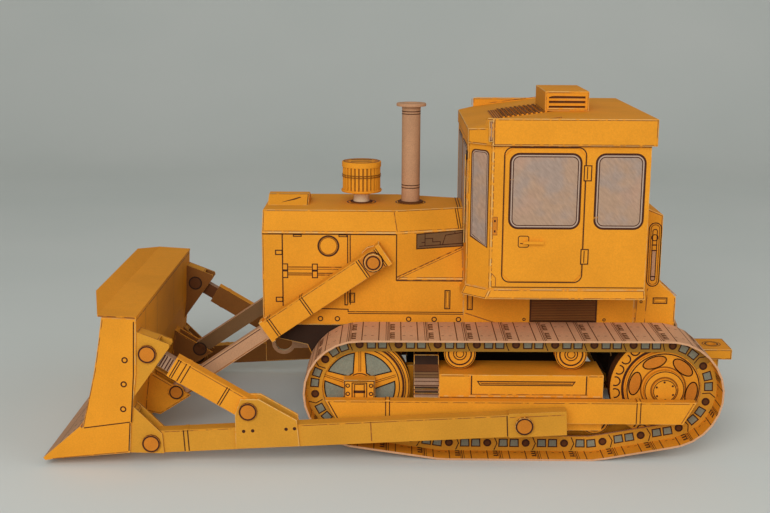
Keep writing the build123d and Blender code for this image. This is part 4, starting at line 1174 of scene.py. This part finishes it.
class CRAWLER_OT_cab(bpy.types.Operator):
    """Cab on its floor, roof with vent, printed windows and door"""
    bl_idname = "crawler.cab"
    bl_label = "Cab"

    def execute(self, context):
        for node in ("cab", "cab_floor", "cab_roof", "roof_vent", "door_handles"):
            folded(node)
        folded("corner_lamps", ["grey"], slot="grey_card")
        folded("wiper", ["dark"], slot="dark_card")
        self.low, self.high = low, high = extent("cab")
        marks = Printing()
        for side in SIDES:
            self.print_side(marks, outer_sheet("cab", side))
            self.print_corner(marks, side)
            marks.pane(end_sheet(high.x), *sorted((side * 1.5, side * 24.0)), 69.5, 97.0)
        marks.pane(end_sheet(low.x, -1), -20.0, 20.0, 81.5, 96.2)
        self.print_roof(marks)
        marks.done("cab_print")
        return {"FINISHED"}

    def print_side(self, marks, sheet):
        """Door with its window, hinges and catch, and the window behind it."""
        marks.pane(sheet, -18.7, 2.5, 73.5, 96.2)
        marks.pane(sheet, -38.1, -23.6, 73.5, 96.2)
        marks.round_box(sheet, -20.3, 4.5, 56.3, 98.3, 2.5, "ink", 0.36)
        for z in (88.2, 62.2):
            marks.patch(sheet, -22.0, -19.8, z, z + 4.6)
            marks.bar(sheet, -20.9, -20.6, z + 0.4, z + 4.2, "ink", 0.02)
        marks.round_box(sheet, -3.6, -0.4, 67.4, 70.9, 0.6, "ink", 0.26)
        marks.stroke(sheet, ((-1.0, 68.6), (-3.6, 68.3)), "ink", 0.3)
        marks.bar(sheet, 6.2, 7.7, 71.2, 76.8, "orange", 0.01)
        marks.box(sheet, 6.2, 7.7, 71.2, 76.8, "fold", 0.2, 0.02)
        for z in (72.0, 75.2):
            marks.bar(sheet, 6.7, 7.2, z, z + 0.7, "ink", 0.03)
        edge = self.high.x - 7.2
        for i in range(18):
            z = self.low.z + 0.8 + 2.5 * i
            marks.bar(sheet, edge - 0.5, edge - 0.24, z, z + 1.9, "fold")
        marks.bar(sheet, self.low.x + 0.4, edge - 0.5, self.low.z + 0.55, self.low.z + 0.85)
        # painted shadow: a dark line along the top of the cab side, under the roof's edge
        marks.bar(sheet, self.low.x + 0.2, edge, self.high.z - 0.5, self.high.z - 0.05, "fold")
        marks.stroke(sheet, ((7.5, 59.0), (6.3, 57.6), (6.3, 54.9)), "fold", 0.25)

    def print_corner(self, marks, side):
        """Narrow pane with a slanted foot on the cab's bevelled corner."""
        mid = Vector((self.high.x - 3.6, side * (self.high.y - 3.25), 0))
        sheet = Sheet(mid, (-7.2, side * 6.5, 0), (0, 0, 1), (6.5, side * 7.2, 0))
        layers = ((-0.2, "brown"), (0.25, "rim"), (0.5, "ink"), (0.7, "glass"))
        for i, (inset, name) in enumerate(layers):
            low, high = -3.3 + inset, 3.3 - inset
            top = [p for p in rounded(low, high, 80, 97.0 - inset, 1.5 - inset / 2) if p[1] > 90]
            marks.fill(sheet, [*top, (low, 69.8 + inset), (high, 67.0 + inset)], name, 0.01 * i)
        for u in (-4.4, 4.2):
            marks.bar(sheet, u, u + 0.22, self.low.z + 0.4, self.high.z - 0.4, "fold")

    def print_roof(self, marks):
        """Fine ribs over the front slope, slots and border lines on the vent."""
        top = extent("cab_roof")[1].z
        start = extent("cab_roof")[1].x - 28.2
        slope = Sheet((start, 0, top), (29.2, 0, -3.9), (0, 1, 0), (0, 0, 1))
        width = extent("roof_vent")[1].y
        marks.bar(slope, 3.0, 19.6, -width, width, "orange", -0.01)
        for i in range(22):
            u = 3.25 + 0.75 * i
            lift = 0.35 * (i % 2) * (u < 16.5)
            marks.bar(slope, u - 0.15, u + 0.15, -width, width, "brown", lift)
        low, high = extent("roof_vent")
        for side in SIDES:
            face, floor = side_sheet(side * high.y), side_sheet(side * (high.y - 0.8))
            for i in range(3):
                z = top + 1.0 + 1.5 * i
                marks.bar(floor, low.x + 1.2, high.x - 1.2, z, z + 0.75, "brown")
            marks.box(face, low.x + 0.4, high.x - 0.4, top + 0.4, high.z - 0.45, "fold", 0.24)
        marks.fold_lines("cab_roof", keep=lambda mid, normal: abs(normal.z) < 0.2)
        marks.fold_lines("corner_lamps")
        marks.fold_lines("cab_floor", keep=lambda mid, normal: abs(normal.y) > 0.4)


class CRAWLER_OT_stacks(bpy.types.Operator):
    """Exhaust tube and fluted pre-cleaner on the hood"""
    bl_idname = "crawler.stacks"
    bl_label = "Exhaust and pre-cleaner"

    def execute(self, context):
        low, high = extent("exhaust")
        middle, radius, flange = (low.x + high.x) / 2, 3.05, (high.x - low.x) / 2
        inner = radius - 0.5
        tube = [(0, 0), (4.2, 0), (4.2, 0.45), (4.0, 0.55), (radius, 0.6), (radius, 1.0),
                (radius, 31.6), (radius + 0.3, 32.1), (flange - 0.1, 32.15), (flange, 32.4),
                (flange, 32.9), (flange - 0.2, 33.1), (inner + 0.2, 33.1), (inner, 32.9),
                (inner, 2.0), (0, 2.0)]
        self.turned("exhaust_card", tube, middle, low.z, "tan", "tan_card", "exhaust", foot=0.7)
        self.hoops("exhaust", radius - 0.05, radius + 0.04, (5.0, 5.9, 29.5, 30.3, 31.6), 0.28,
                   middle, low.z, "ink")
        self.drum()
        return {"FINISHED"}

    def turned(self, name, steps, x, z, look, slot, *nodes, count=56, foot=0.0):
        bm = turned_disc([(r * MM, h * MM) for r, h in steps], count)
        bmesh.ops.translate(bm, verts=bm.verts, vec=metres((x, 0, z)))
        base = metres((0, 0, z)).z
        for face in bm.faces:
            face.smooth = True
            face.material_index = int((face.calc_center_median().z - base) / MM < foot)
        piece = from_bmesh(name, bm, [look, "brown"])
        piece.data.set_sharp_from_angle(angle=math.radians(35))
        return settle(piece, "chassis", slot, *nodes)

    def hoops(self, name, inside, outside, heights, width, x, z, look):
        """Printed lines that run round a turned piece."""
        for i, h in enumerate(heights):
            top = h + width
            steps = [(inside, h), (outside, h), (outside, top), (inside, top), (inside, h)]
            self.turned("%s_line_%d" % (name, i), steps, x, z, look, "dark_card")

    def drum(self):
        """Drum of folded ribs between its rim and its lid, on a short neck."""
        low, high = extent("precleaner")
        x, z, height = (low.x + high.x) / 2, low.z, high.z - low.z
        neck = extent("precleaner_neck")
        top = neck[1].z - neck[0].z
        steps = [(0, 0), (3.7, 0), (3.7, 0.35), (2.7, 0.4), (2.6, 1.6), (2.7, 2.4), (2.7, top),
                 (0, top)]
        self.turned("precleaner_neck_card", steps, x, neck[0].z, "cut", "tan_card",
                    "precleaner_neck", foot=0.5)
        rim, lid, wall = 6.8, 6.5, 5.9
        drum = [(0, 0), (4.2, 0), (rim - 0.2, 0.5), (rim, 0.9), (rim - 0.1, 1.2), (wall, 1.25),
                (wall, height - 1.8), (lid, height - 1.75), (lid, height - 0.1),
                (lid - 0.15, height), (0, height)]
        self.turned("precleaner_card", drum, x, z, "yellow", "yellow_card", "precleaner")
        count = sizes().drum_ribs
        middle = Matrix.Translation(metres((x, 0, z + height / 2 - 0.3)))
        for name, look, slot, section, out, shift in (
                ("precleaner_ribs", "yellow", "yellow_card", (0.55, 0.80), 6.0, 0.0),
                ("precleaner_gaps", "ink", "dark_card", (0.1, 0.26), wall + 0.02, 0.5)):
            rib = bmesh.new()
            bmesh.ops.create_cube(rib, size=1)
            bmesh.ops.scale(rib, verts=rib.verts, vec=Vector((*section, height - 3.0)) * MM)
            step = Matrix.Translation((out * MM, 0, 0))
            turns = [2 * math.pi * (i + shift) / count for i in range(count)]
            spots = [middle @ Matrix.Rotation(turn, 4, "Z") @ step for turn in turns]
            settle(repeated(name, rib, spots, look), "chassis", slot)
        self.hoops("precleaner", 6.35, 6.45, (height * 0.52, height * 0.58), 0.3, x, z, "soft")
        marks = Printing()
        top = top_sheet(high.z)
        marks.ring(top, (x, 0), lid - 1.3, "orange", 1.3, -0.01, 40)
        marks.ring(top, (x, 0), lid - 0.6, "ink", 0.3, count=40)
        for y in (2.4, -2.4):
            marks.bar(top, x - 3.4, x + 3.4, y - 0.5, y + 0.5)
        marks.done("precleaner_print")


# Running gear frames


class CRAWLER_OT_frames(bpy.types.Operator):
    """Roller frames, rails, idler bearings, recoil blocks and final drives"""
    bl_idname = "crawler.frames"
    bl_label = "Roller frames"

    def execute(self, context):
        # faces towards the middle are painted dark: painted shade on the frames' inner sides
        folded("roller_frames", ["yellow", "dark"], inward)
        folded("frame_rails")
        folded("idler_blocks")
        folded("final_drives", ["dark"], slot="dark_card")

        def sloped(face):
            return int(face.normal.z > 0.3 and face.calc_center_median().z > 0.02)

        folded("recoil_blocks", ["grey", "dark"], sloped, slot="grey_card")
        folded("pivot_pins", ["orange", "brown"], rims(1))
        marks = Printing()
        for side in SIDES:
            self.print_frame(marks, side)
            self.print_rail(marks, side)
            self.print_bearing(marks, side)
            self.print_recoil(marks, side)
        marks.done("frame_print")
        return {"FINISHED"}

    def print_frame(self, marks, side):
        """Spring cover with its long slot, edge lines and the pale fold below it."""
        panel, wall = [outer_sheet("roller_frames", side, inset) for inset in (0.0, 0.3)]
        x0, x1 = -23.1, 13.6
        for x in (x0 + 0.25, x1 - 0.5):
            marks.bar(panel, x, x + 0.4, 20.9, 27.1)
        marks.bar(panel, x0, x1, 20.8, 21.1, "fold")
        slot = ((-18.2, 24.0), (-19.0, 25.2), (11.4, 25.2), (10.6, 24.0))
        marks.stroke(panel, slot, closed=True)
        marks.bar(panel, -18.0, 10.4, 24.35, 24.6)
        for i in range(13):
            x = -27.2 + 3.9 * i
            marks.bar(wall, x, x + 2.3, 20.1, 20.4, "edge")
        marks.bar(wall, -27.9, 23.2, 19.6, 20.0, "soft")
        for start, end in ((-27.6, x0 - 0.3), (x1 + 0.4, 23.0)):
            marks.bar(wall, start, end, 26.7, 27.0, "fold")

    def print_rail(self, marks, side):
        """Joints across the rail and its outer lines."""
        sheet, top = outer_sheet("frame_rails", side), top_sheet(extent("frame_rails")[1].z)
        across = sorted((side * 38.1, side * 41.1))
        for x in (39.5, -38.8):
            for shift in (-0.75, 0.45):
                marks.bar(sheet, x + shift, x + shift + 0.32, 12.6, 19.4)
            for shift in (-0.7, 0.45):
                marks.bar(top, x + shift, x + shift + 0.25, *across)
        marks.stroke(sheet, ((58.0, 19.2), (54.6, 12.8)))
        marks.stroke(sheet, ((-55.7, 19.2), (-52.3, 12.8)), "fold", 0.3)
        marks.bar(sheet, -56.0, 58.2, 19.05, 19.3, "fold")

    def print_bearing(self, marks, side):
        """Forked block with a bolt in each corner."""
        low, high = extent("idler_blocks")
        x, z = middle_of("idler_blocks")
        sheet, inner = [outer_sheet("idler_blocks", side, inset) for inset in (0.0, 0.4)]
        marks.box(sheet, low.x + 0.3, high.x - 0.3, low.z + 0.3, high.z - 0.3)
        marks.box(sheet, x - 2.3, x + 2.3, z - 2.9, z + 3.1)
        marks.bar(inner, x - 1.8, x + 1.8, z - 0.4, z + 0.5)
        marks.box(inner, x - 1.5, x + 1.5, z - 2.3, z + 2.5, "ink", 0.28)
        for shift in (-3.65, 3.65):
            for rise in (2.2, -0.5):
                marks.ring(sheet, (x + shift, z + rise), 0.55, count=16)

    def print_recoil(self, marks, side):
        """Dark folds between the five ribs and across the slope."""
        low, high = extent("recoil_blocks")
        sheet = side_sheet(side * high.y)
        knee, bottom, ribs = 23.5, low.z, 5
        pitch = (knee - bottom) / ribs
        for i in range(ribs + 1):
            z = bottom + pitch * i
            marks.bar(sheet, low.x, high.x, z - 0.12, z + 0.12)
        rise = (0, side * (31.0 - high.y), high.z - knee)
        slope = Sheet((low.x, side * high.y, knee), (1, 0, 0), rise, (0, side, 1))
        width = high.x - low.x
        for v0, v1, name in ((0.1, 2.4, "grey"), (2.6, 4.4, "umber"), (4.6, 7.0, "brown")):
            marks.bar(slope, 0.1, width - 0.1, v0, v1, name)
        for v in (1.2, 2.35, 3.4, 4.4):
            marks.bar(slope, 0.1, width - 0.1, v, v + 0.25, "ink", 0.01)


# Blade, push frame and lift cylinders


class CRAWLER_OT_blade(bpy.types.Operator):
    """Box blade with its guard and cutting edge"""
    bl_idname = "crawler.blade"
    bl_label = "Blade"

    def execute(self, context):
        for node in ("blade", "blade_guard"):
            folded(node, body="push_frame")
        folded("cutting_edge", ["tan", "yellow"], lambda face: int(abs(face.normal.y) > 0.9),
               "push_frame", "tan_card")
        marks = Printing()
        y = extent("blade")[1].y
        for side in SIDES:
            sheet = side_sheet(side * y)
            for place in ((119.4, 34.5), (120.0, 26.8), (120.5, 18.8)):
                marks.ring(sheet, place, 0.78, "ink", 0.42, count=20)
                marks.dot(sheet, place, 0.5, "yellow")
            marks.stroke(sheet, ((132.9, 12.6), (118.6, 14.6)))
            marks.stroke(sheet, ((118.2, 14.6), (116.9, 29.9), (116.2, 46.6)), "ink", 0.36)
            marks.stroke(sheet, ((118.6, 14.3), (119.3, 5.2)))
            marks.stroke(sheet, ((143.0, 2.5), (119.6, 4.9)), "fold", 0.26)
            plate = ((133.1, 12.3), (134.1, 13.0), (146.0, 2.75), (145.4, 2.0), (143.6, 2.25))
            marks.fill(sheet, plate, "yellow")
            marks.stroke(sheet, ((125.6, 47.2), (128.5, 31.0), (133.0, 13.0)), "fold", 0.26)
        self.print_edge(marks, y)
        marks.fold_lines("blade_guard", keep=on_sides)
        marks.done("blade_print", "push_frame")
        return {"FINISHED"}

    def print_edge(self, marks, y):
        """Bolts and joints along the cutting edge, panel lines on the blade's back."""
        heel, tip = Vector((133.5, 0, 12.3)), Vector((145.44, 0, 1.95))
        run = tip - heel
        out = Vector((-run.z, 0, run.x)).normalized()
        sheet = Sheet(heel + out, (0, 1, 0), run, out)
        for i in range(12):
            across = (i - 5.5) * 2 * (y - 1.9) / 11
            for v in (3.0, 5.4):
                marks.dot(sheet, (across, v), 0.5, "ink", count=12)
        for across in (-y * 0.34, y * 0.34):
            marks.bar(sheet, across - 0.14, across + 0.14, 0.4, run.length - 0.8)
        for v in (1.2, 8.6):
            marks.bar(sheet, 0.4 - y, y - 0.4, v, v + 0.28)
        back = Sheet((115.5, 0, 47.5), (0, 1, 0), (-0.7, 0, 17.6), (-1, 0, 0))
        for side in SIDES:
            for across in (side * 15.0, side * 33.5):
                marks.bar(back, across - 0.14, across + 0.14, -16.6, -1.0, "fold")
        marks.bar(back, 0.6 - y, y - 0.6, -0.8, -0.5, "fold")


class CRAWLER_OT_push_frame(bpy.types.Operator):
    """Push arms, braces, gussets and lugs with their pins"""
    bl_idname = "crawler.push_frame"
    bl_label = "Push frame"
    PIVOT, TIP = (-2.6, 13.9), (112.4, 7.5)
    FOOT, TOP = (82.34, 18.08), (112.6, 36.3)
    HEADS = (TIP, TOP, FOOT)
    GUSSET_BOLTS = ((83.8, 11.6), (81.0, 11.8), (70.7, 12.4), (68.1, 12.6))

    def execute(self, context):
        for node in ("push_arms", "gussets", "braces", "arm_lugs", "brace_lugs"):
            # faces towards the middle take the shade finish, and on the rods brown: painted shade
            # on the inner sides
            folded(node, ["yellow" if node == "braces" else "olive", "shade"], inward, "push_frame")
        folded("brace_rods", ["grey", "brown"], inward, "push_frame", "grey_card")
        folded("push_frame_pins", ["orange", "brown"], rims(1), body="push_frame")
        marks = Printing()
        for side in SIDES:
            self.print_arm(marks, side)
            self.print_brace(marks, side)
            heads, plates = outer_sheet("push_frame_pins", side), outer_sheet("gussets", side)
            inner = inner_sheet(side * (extent("frame_rails")[1].y + 0.3))
            for place in self.HEADS:
                marks.ring(heads, place, 2.5, "ink", 0.5, count=24)
                marks.pin_end(inner, place)
            for place in self.GUSSET_BOLTS:
                marks.dot(plates, place, 0.55)
        for node in ("brace_lugs", "arm_lugs"):
            marks.fold_lines(node, keep=lambda mid, normal: abs(normal.y) < 0.5)
        marks.done("push_frame_print", "push_frame")
        self.print_pivots()
        return {"FINISHED"}

    def print_arm(self, marks, side):
        """Band before the tip, sleeve line at the pivot and lines along the folds."""
        y = extent("braces")[1].y
        sheet = strut_sheet(self.PIVOT, self.TIP, side * y)
        length = (Vector(self.TIP) - Vector(self.PIVOT)).length
        marks.bands(sheet, (length - 11.5, length - 10.2, 5.0), 0.36, 3.4)
        marks.bands(sheet, (47.0,), 0.36, 3.4, "fold")
        marks.bar(sheet, -12.6, 4.4, 2.6, 2.85, "fold")
        marks.bar(sheet, 5.6, length - 40.5, 3.05, 3.3, "fold")
        marks.bar(sheet, length - 25.0, length - 4.2, 3.05, 3.3, "fold")

    def print_brace(self, marks, side):
        """Sleeve lines round the brace, and rings on the rod above it."""
        y = extent("braces")[1].y
        sheet, rod = [strut_sheet(self.FOOT, self.TOP, side * place) for place in (y, y - 0.5)]
        marks.bands(sheet, (8.2, 9.0, 22.0, 23.3, 25.2, 25.9), 0.34, 3.2)
        marks.bar(sheet, 3.6, 26.6, 2.75, 3.0, "fold")
        marks.bands(rod, (27.4, 28.3, 29.4, 30.2), 0.4, 2.1)

    def print_pivots(self):
        marks = Printing()
        for side in SIDES:
            marks.ring(outer_sheet("pivot_pins", side), self.PIVOT, 2.5, "ink", 0.5, count=24)
        marks.done("pivot_print")


class CRAWLER_OT_cylinders(bpy.types.Operator):
    """Lift cylinders: barrels on the hood, rods pinned to the blade"""
    bl_idname = "crawler.cylinders"
    bl_label = "Lift cylinders"
    TOP, FOOT = (44.4, 60.4), (108.1, 16.9)
    SLEEVE = (25.3, 26.1, 38.0, 38.8)         # lines round the barrel, from its pin

    def execute(self, context):
        folded("cylinder_mounts", ["orange", "brown"], rims(1))
        # the lugs' faces towards the middle take the shade finish, a painted shade
        folded("cylinder_lugs", ["yellow", "shade"], inward, "push_frame")
        y = extent("lift_barrel_left")[1].y
        for name, side in (("left", 1), ("right", -1)):
            folded("lift_barrel_" + name, body="lift_barrel_" + name)
            # the rod's faces towards the middle are painted umber, a painted shade
            folded("lift_rod_" + name, ["tan", "umber"], inward, "lift_rod_" + name, "tan_card")
            marks = Printing()
            sheet = strut_sheet(self.TOP, self.FOOT, side * y)
            marks.bands(sheet, (3.4, 4.2, *self.SLEEVE), 0.34, 3.3)
            marks.bands(sheet, (-3.2, -2.6), 0.3, 3.3)
            marks.bar(sheet, -2.6, 3.4, -3.2, 3.2, "orange", -0.01)
            marks.ring(sheet, (0, 0), 3.1, "ink", 0.4, count=28)
            marks.bar(sheet, 5.0, 40.0, 2.9, 3.15, "fold")
            run = (self.FOOT[0] - self.TOP[0], 0, self.FOOT[1] - self.TOP[1])
            top = Sheet((self.TOP[0], side * 23.5, self.TOP[1]), run, (0, side, 0), (0, 0, 1))
            marks.bands(top.raised(3.4), self.SLEEVE, 0.34, 2.3)
            marks.done("lift_barrel_" + name + "_print", "lift_barrel_" + name)
            marks = Printing()
            rod = strut_sheet(self.TOP, self.FOOT, side * extent("lift_rod_left")[1].y)
            marks.bar(rod, 42.6, 74.0, 1.75, 2.0)
            marks.bar(rod, 42.6, 74.0, -2.1, -1.85, "fold")
            marks.done("lift_rod_" + name + "_print", "lift_rod_" + name)
        self.print_pins()
        return {"FINISHED"}

    def print_pins(self):
        """Heads of the upper and lower pins, and the lower ones' inner ends."""
        for node, place, body in (("cylinder_mounts", self.TOP, "chassis"),
                                  ("cylinder_lugs", self.FOOT, "push_frame")):
            marks, on_lugs = Printing(), body == "push_frame"
            for side in SIDES:
                sheet = outer_sheet(node, side)
                marks.ring(sheet, place, 2.1, "ink", 0.5, 0.01, 24)
                marks.dot(sheet, place, 2.1, "orange", count=24)
                if on_lugs:
                    marks.pin_end(inner_sheet(side * (extent("lift_rod_left")[0].y - 1.2)), place)
            if on_lugs:
                marks.fold_lines(node, keep=on_sides)
            marks.done(node + "_print", body)


# Stage


class CRAWLER_OT_stage(bpy.types.Operator):
    """Camera of the photograph, soft lamps and a plain pale floor"""
    bl_idname = "crawler.stage"
    bl_label = "Stage"

    def execute(self, context):
        scene, stage = context.scene, context.scene.card_stage
        scene.view_settings.view_transform = "Standard"
        camera = bpy.data.objects.new("photo_camera", bpy.data.cameras.new("photo_camera"))
        scene.collection.objects.link(camera)
        camera.data.sensor_fit = "HORIZONTAL"
        camera.data.angle = stage.view_angle
        camera.data.clip_start = 0.01
        yaw, pitch, roll = math.radians(0.409), math.radians(12.709), math.radians(0.282)
        camera.location = metres((38.05, 391.04, 144.61))
        ahead = Vector((-math.sin(yaw) * math.cos(pitch), -math.cos(yaw) * math.cos(pitch),
                        -math.sin(pitch)))
        right = Vector((-math.cos(yaw), -math.sin(yaw), 0))
        down = ahead.cross(right)
        right, down = (right * math.cos(roll) - down * math.sin(roll),
                       right * math.sin(roll) + down * math.cos(roll))
        turn = Matrix((right, -down, -ahead)).transposed()
        camera.rotation_euler = turn.to_euler()
        scene.camera = camera
        self.lamp("key_lamp", (0.16, 0.75, 0.42), 0.55, stage.key)
        self.lamp("fill_lamp", (-0.70, 0.25, 0.45), 0.60, stage.fill)
        world = bpy.data.worlds.new("even_sky")
        world.use_nodes = True
        sky = world.node_tree.nodes["Background"].inputs
        sky["Color"].default_value = (1.0, 0.98, 0.95, 1)
        sky["Strength"].default_value = stage.sky
        scene.world = world
        self.floor()
        return {"FINISHED"}

    def lamp(self, name, place, size, power):
        lamp = bpy.data.objects.new(name, bpy.data.lights.new(name, "AREA"))
        lamp.data.shape, lamp.data.size, lamp.data.energy = "SQUARE", size, power
        lamp.location = place
        aim = Vector((0.0, 0.0, 0.04)) - Vector(place)
        lamp.rotation_euler = aim.to_track_quat("-Z", "Y").to_euler()
        bpy.context.scene.collection.objects.link(lamp)

    def floor(self):
        """Pale floor that curves up into a backdrop."""
        bm = bmesh.new()
        bend, depth, rise, half = 0.35, 0.55, 1.6, 9.0
        section = [(half, 0.0), (-depth, 0.0)]
        turns = [math.radians(90 * i / 12) for i in range(1, 13)]
        section += [(-depth - bend * math.sin(a), bend - bend * math.cos(a)) for a in turns]
        section.append((-depth - bend, rise))
        rows = [[bm.verts.new((x, y, z - 0.00005)) for x in (-half, half)] for y, z in section]
        for low, high in zip(rows, rows[1:]):
            bm.faces.new((low[0], low[1], high[1], high[0])).smooth = True
        made, tree, shader, vector = matte("pale_paper", 0.9)
        shader.inputs["Specular IOR Level"].default_value = 0.1
        tone = blend_colours(tree, ramp(tree, noise(tree, vector, 6.0), 0.3, 0.7),
                             (0.70, 0.73, 0.70, 1), (0.66, 0.70, 0.67, 1))
        tree.links.new(tone, shader.inputs["Base Color"])
        mesh = bpy.data.meshes.new("floor")
        bmesh.ops.recalc_face_normals(bm, faces=bm.faces)
        bm.to_mesh(mesh)
        bm.free()
        mesh.materials.append(made)
        piece = bpy.data.objects.new("floor", mesh)
        bpy.context.scene.collection.objects.link(piece)
        piece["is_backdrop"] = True


# Panel and registration

PIECES = [CRAWLER_OT_body, CRAWLER_OT_hood, CRAWLER_OT_cab, CRAWLER_OT_stacks, CRAWLER_OT_frames,
          CRAWLER_OT_tracks, CRAWLER_OT_wheels, CRAWLER_OT_blade, CRAWLER_OT_push_frame,
          CRAWLER_OT_cylinders, CRAWLER_OT_stage]


class CRAWLER_PT_panel(bpy.types.Panel):
    """Lists the model's pieces"""
    bl_label = "Card crawler"
    bl_idname = "CRAWLER_PT_panel"
    bl_space_type = "VIEW_3D"
    bl_region_type = "UI"
    bl_category = "Card crawler"

    def draw(self, context):
        for piece in PIECES:
            self.layout.operator(piece.bl_idname)


CLASSES = [CardColours, CardSizes, CardStage, *PIECES, CRAWLER_PT_panel]


def register():
    for each in CLASSES:
        bpy.utils.register_class(each)
    bpy.types.Scene.card_colours = PointerProperty(type=CardColours)
    bpy.types.Scene.card_sizes = PointerProperty(type=CardSizes)
    bpy.types.Scene.card_stage = PointerProperty(type=CardStage)


def unregister():
    del bpy.types.Scene.card_colours, bpy.types.Scene.card_sizes, bpy.types.Scene.card_stage
    for each in reversed(CLASSES):
        bpy.utils.unregister_class(each)


def corners(bounds):
    return [[float(c) for c in corner] for corner in bounds]


def main():
    register()
    for piece in PIECES:
        group, name = piece.bl_idname.split(".")
        if getattr(getattr(bpy.ops, group), name)() != {"FINISHED"}:
            raise RuntimeError(piece.bl_label + " was not finished")
    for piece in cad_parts.values():
        piece.data.materials.clear()
        piece.data.materials.append(finish("yellow"))
    {"cad": corners(CAD_BOX), "visual": corners(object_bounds())}


if __name__ == "__main__":
    main()
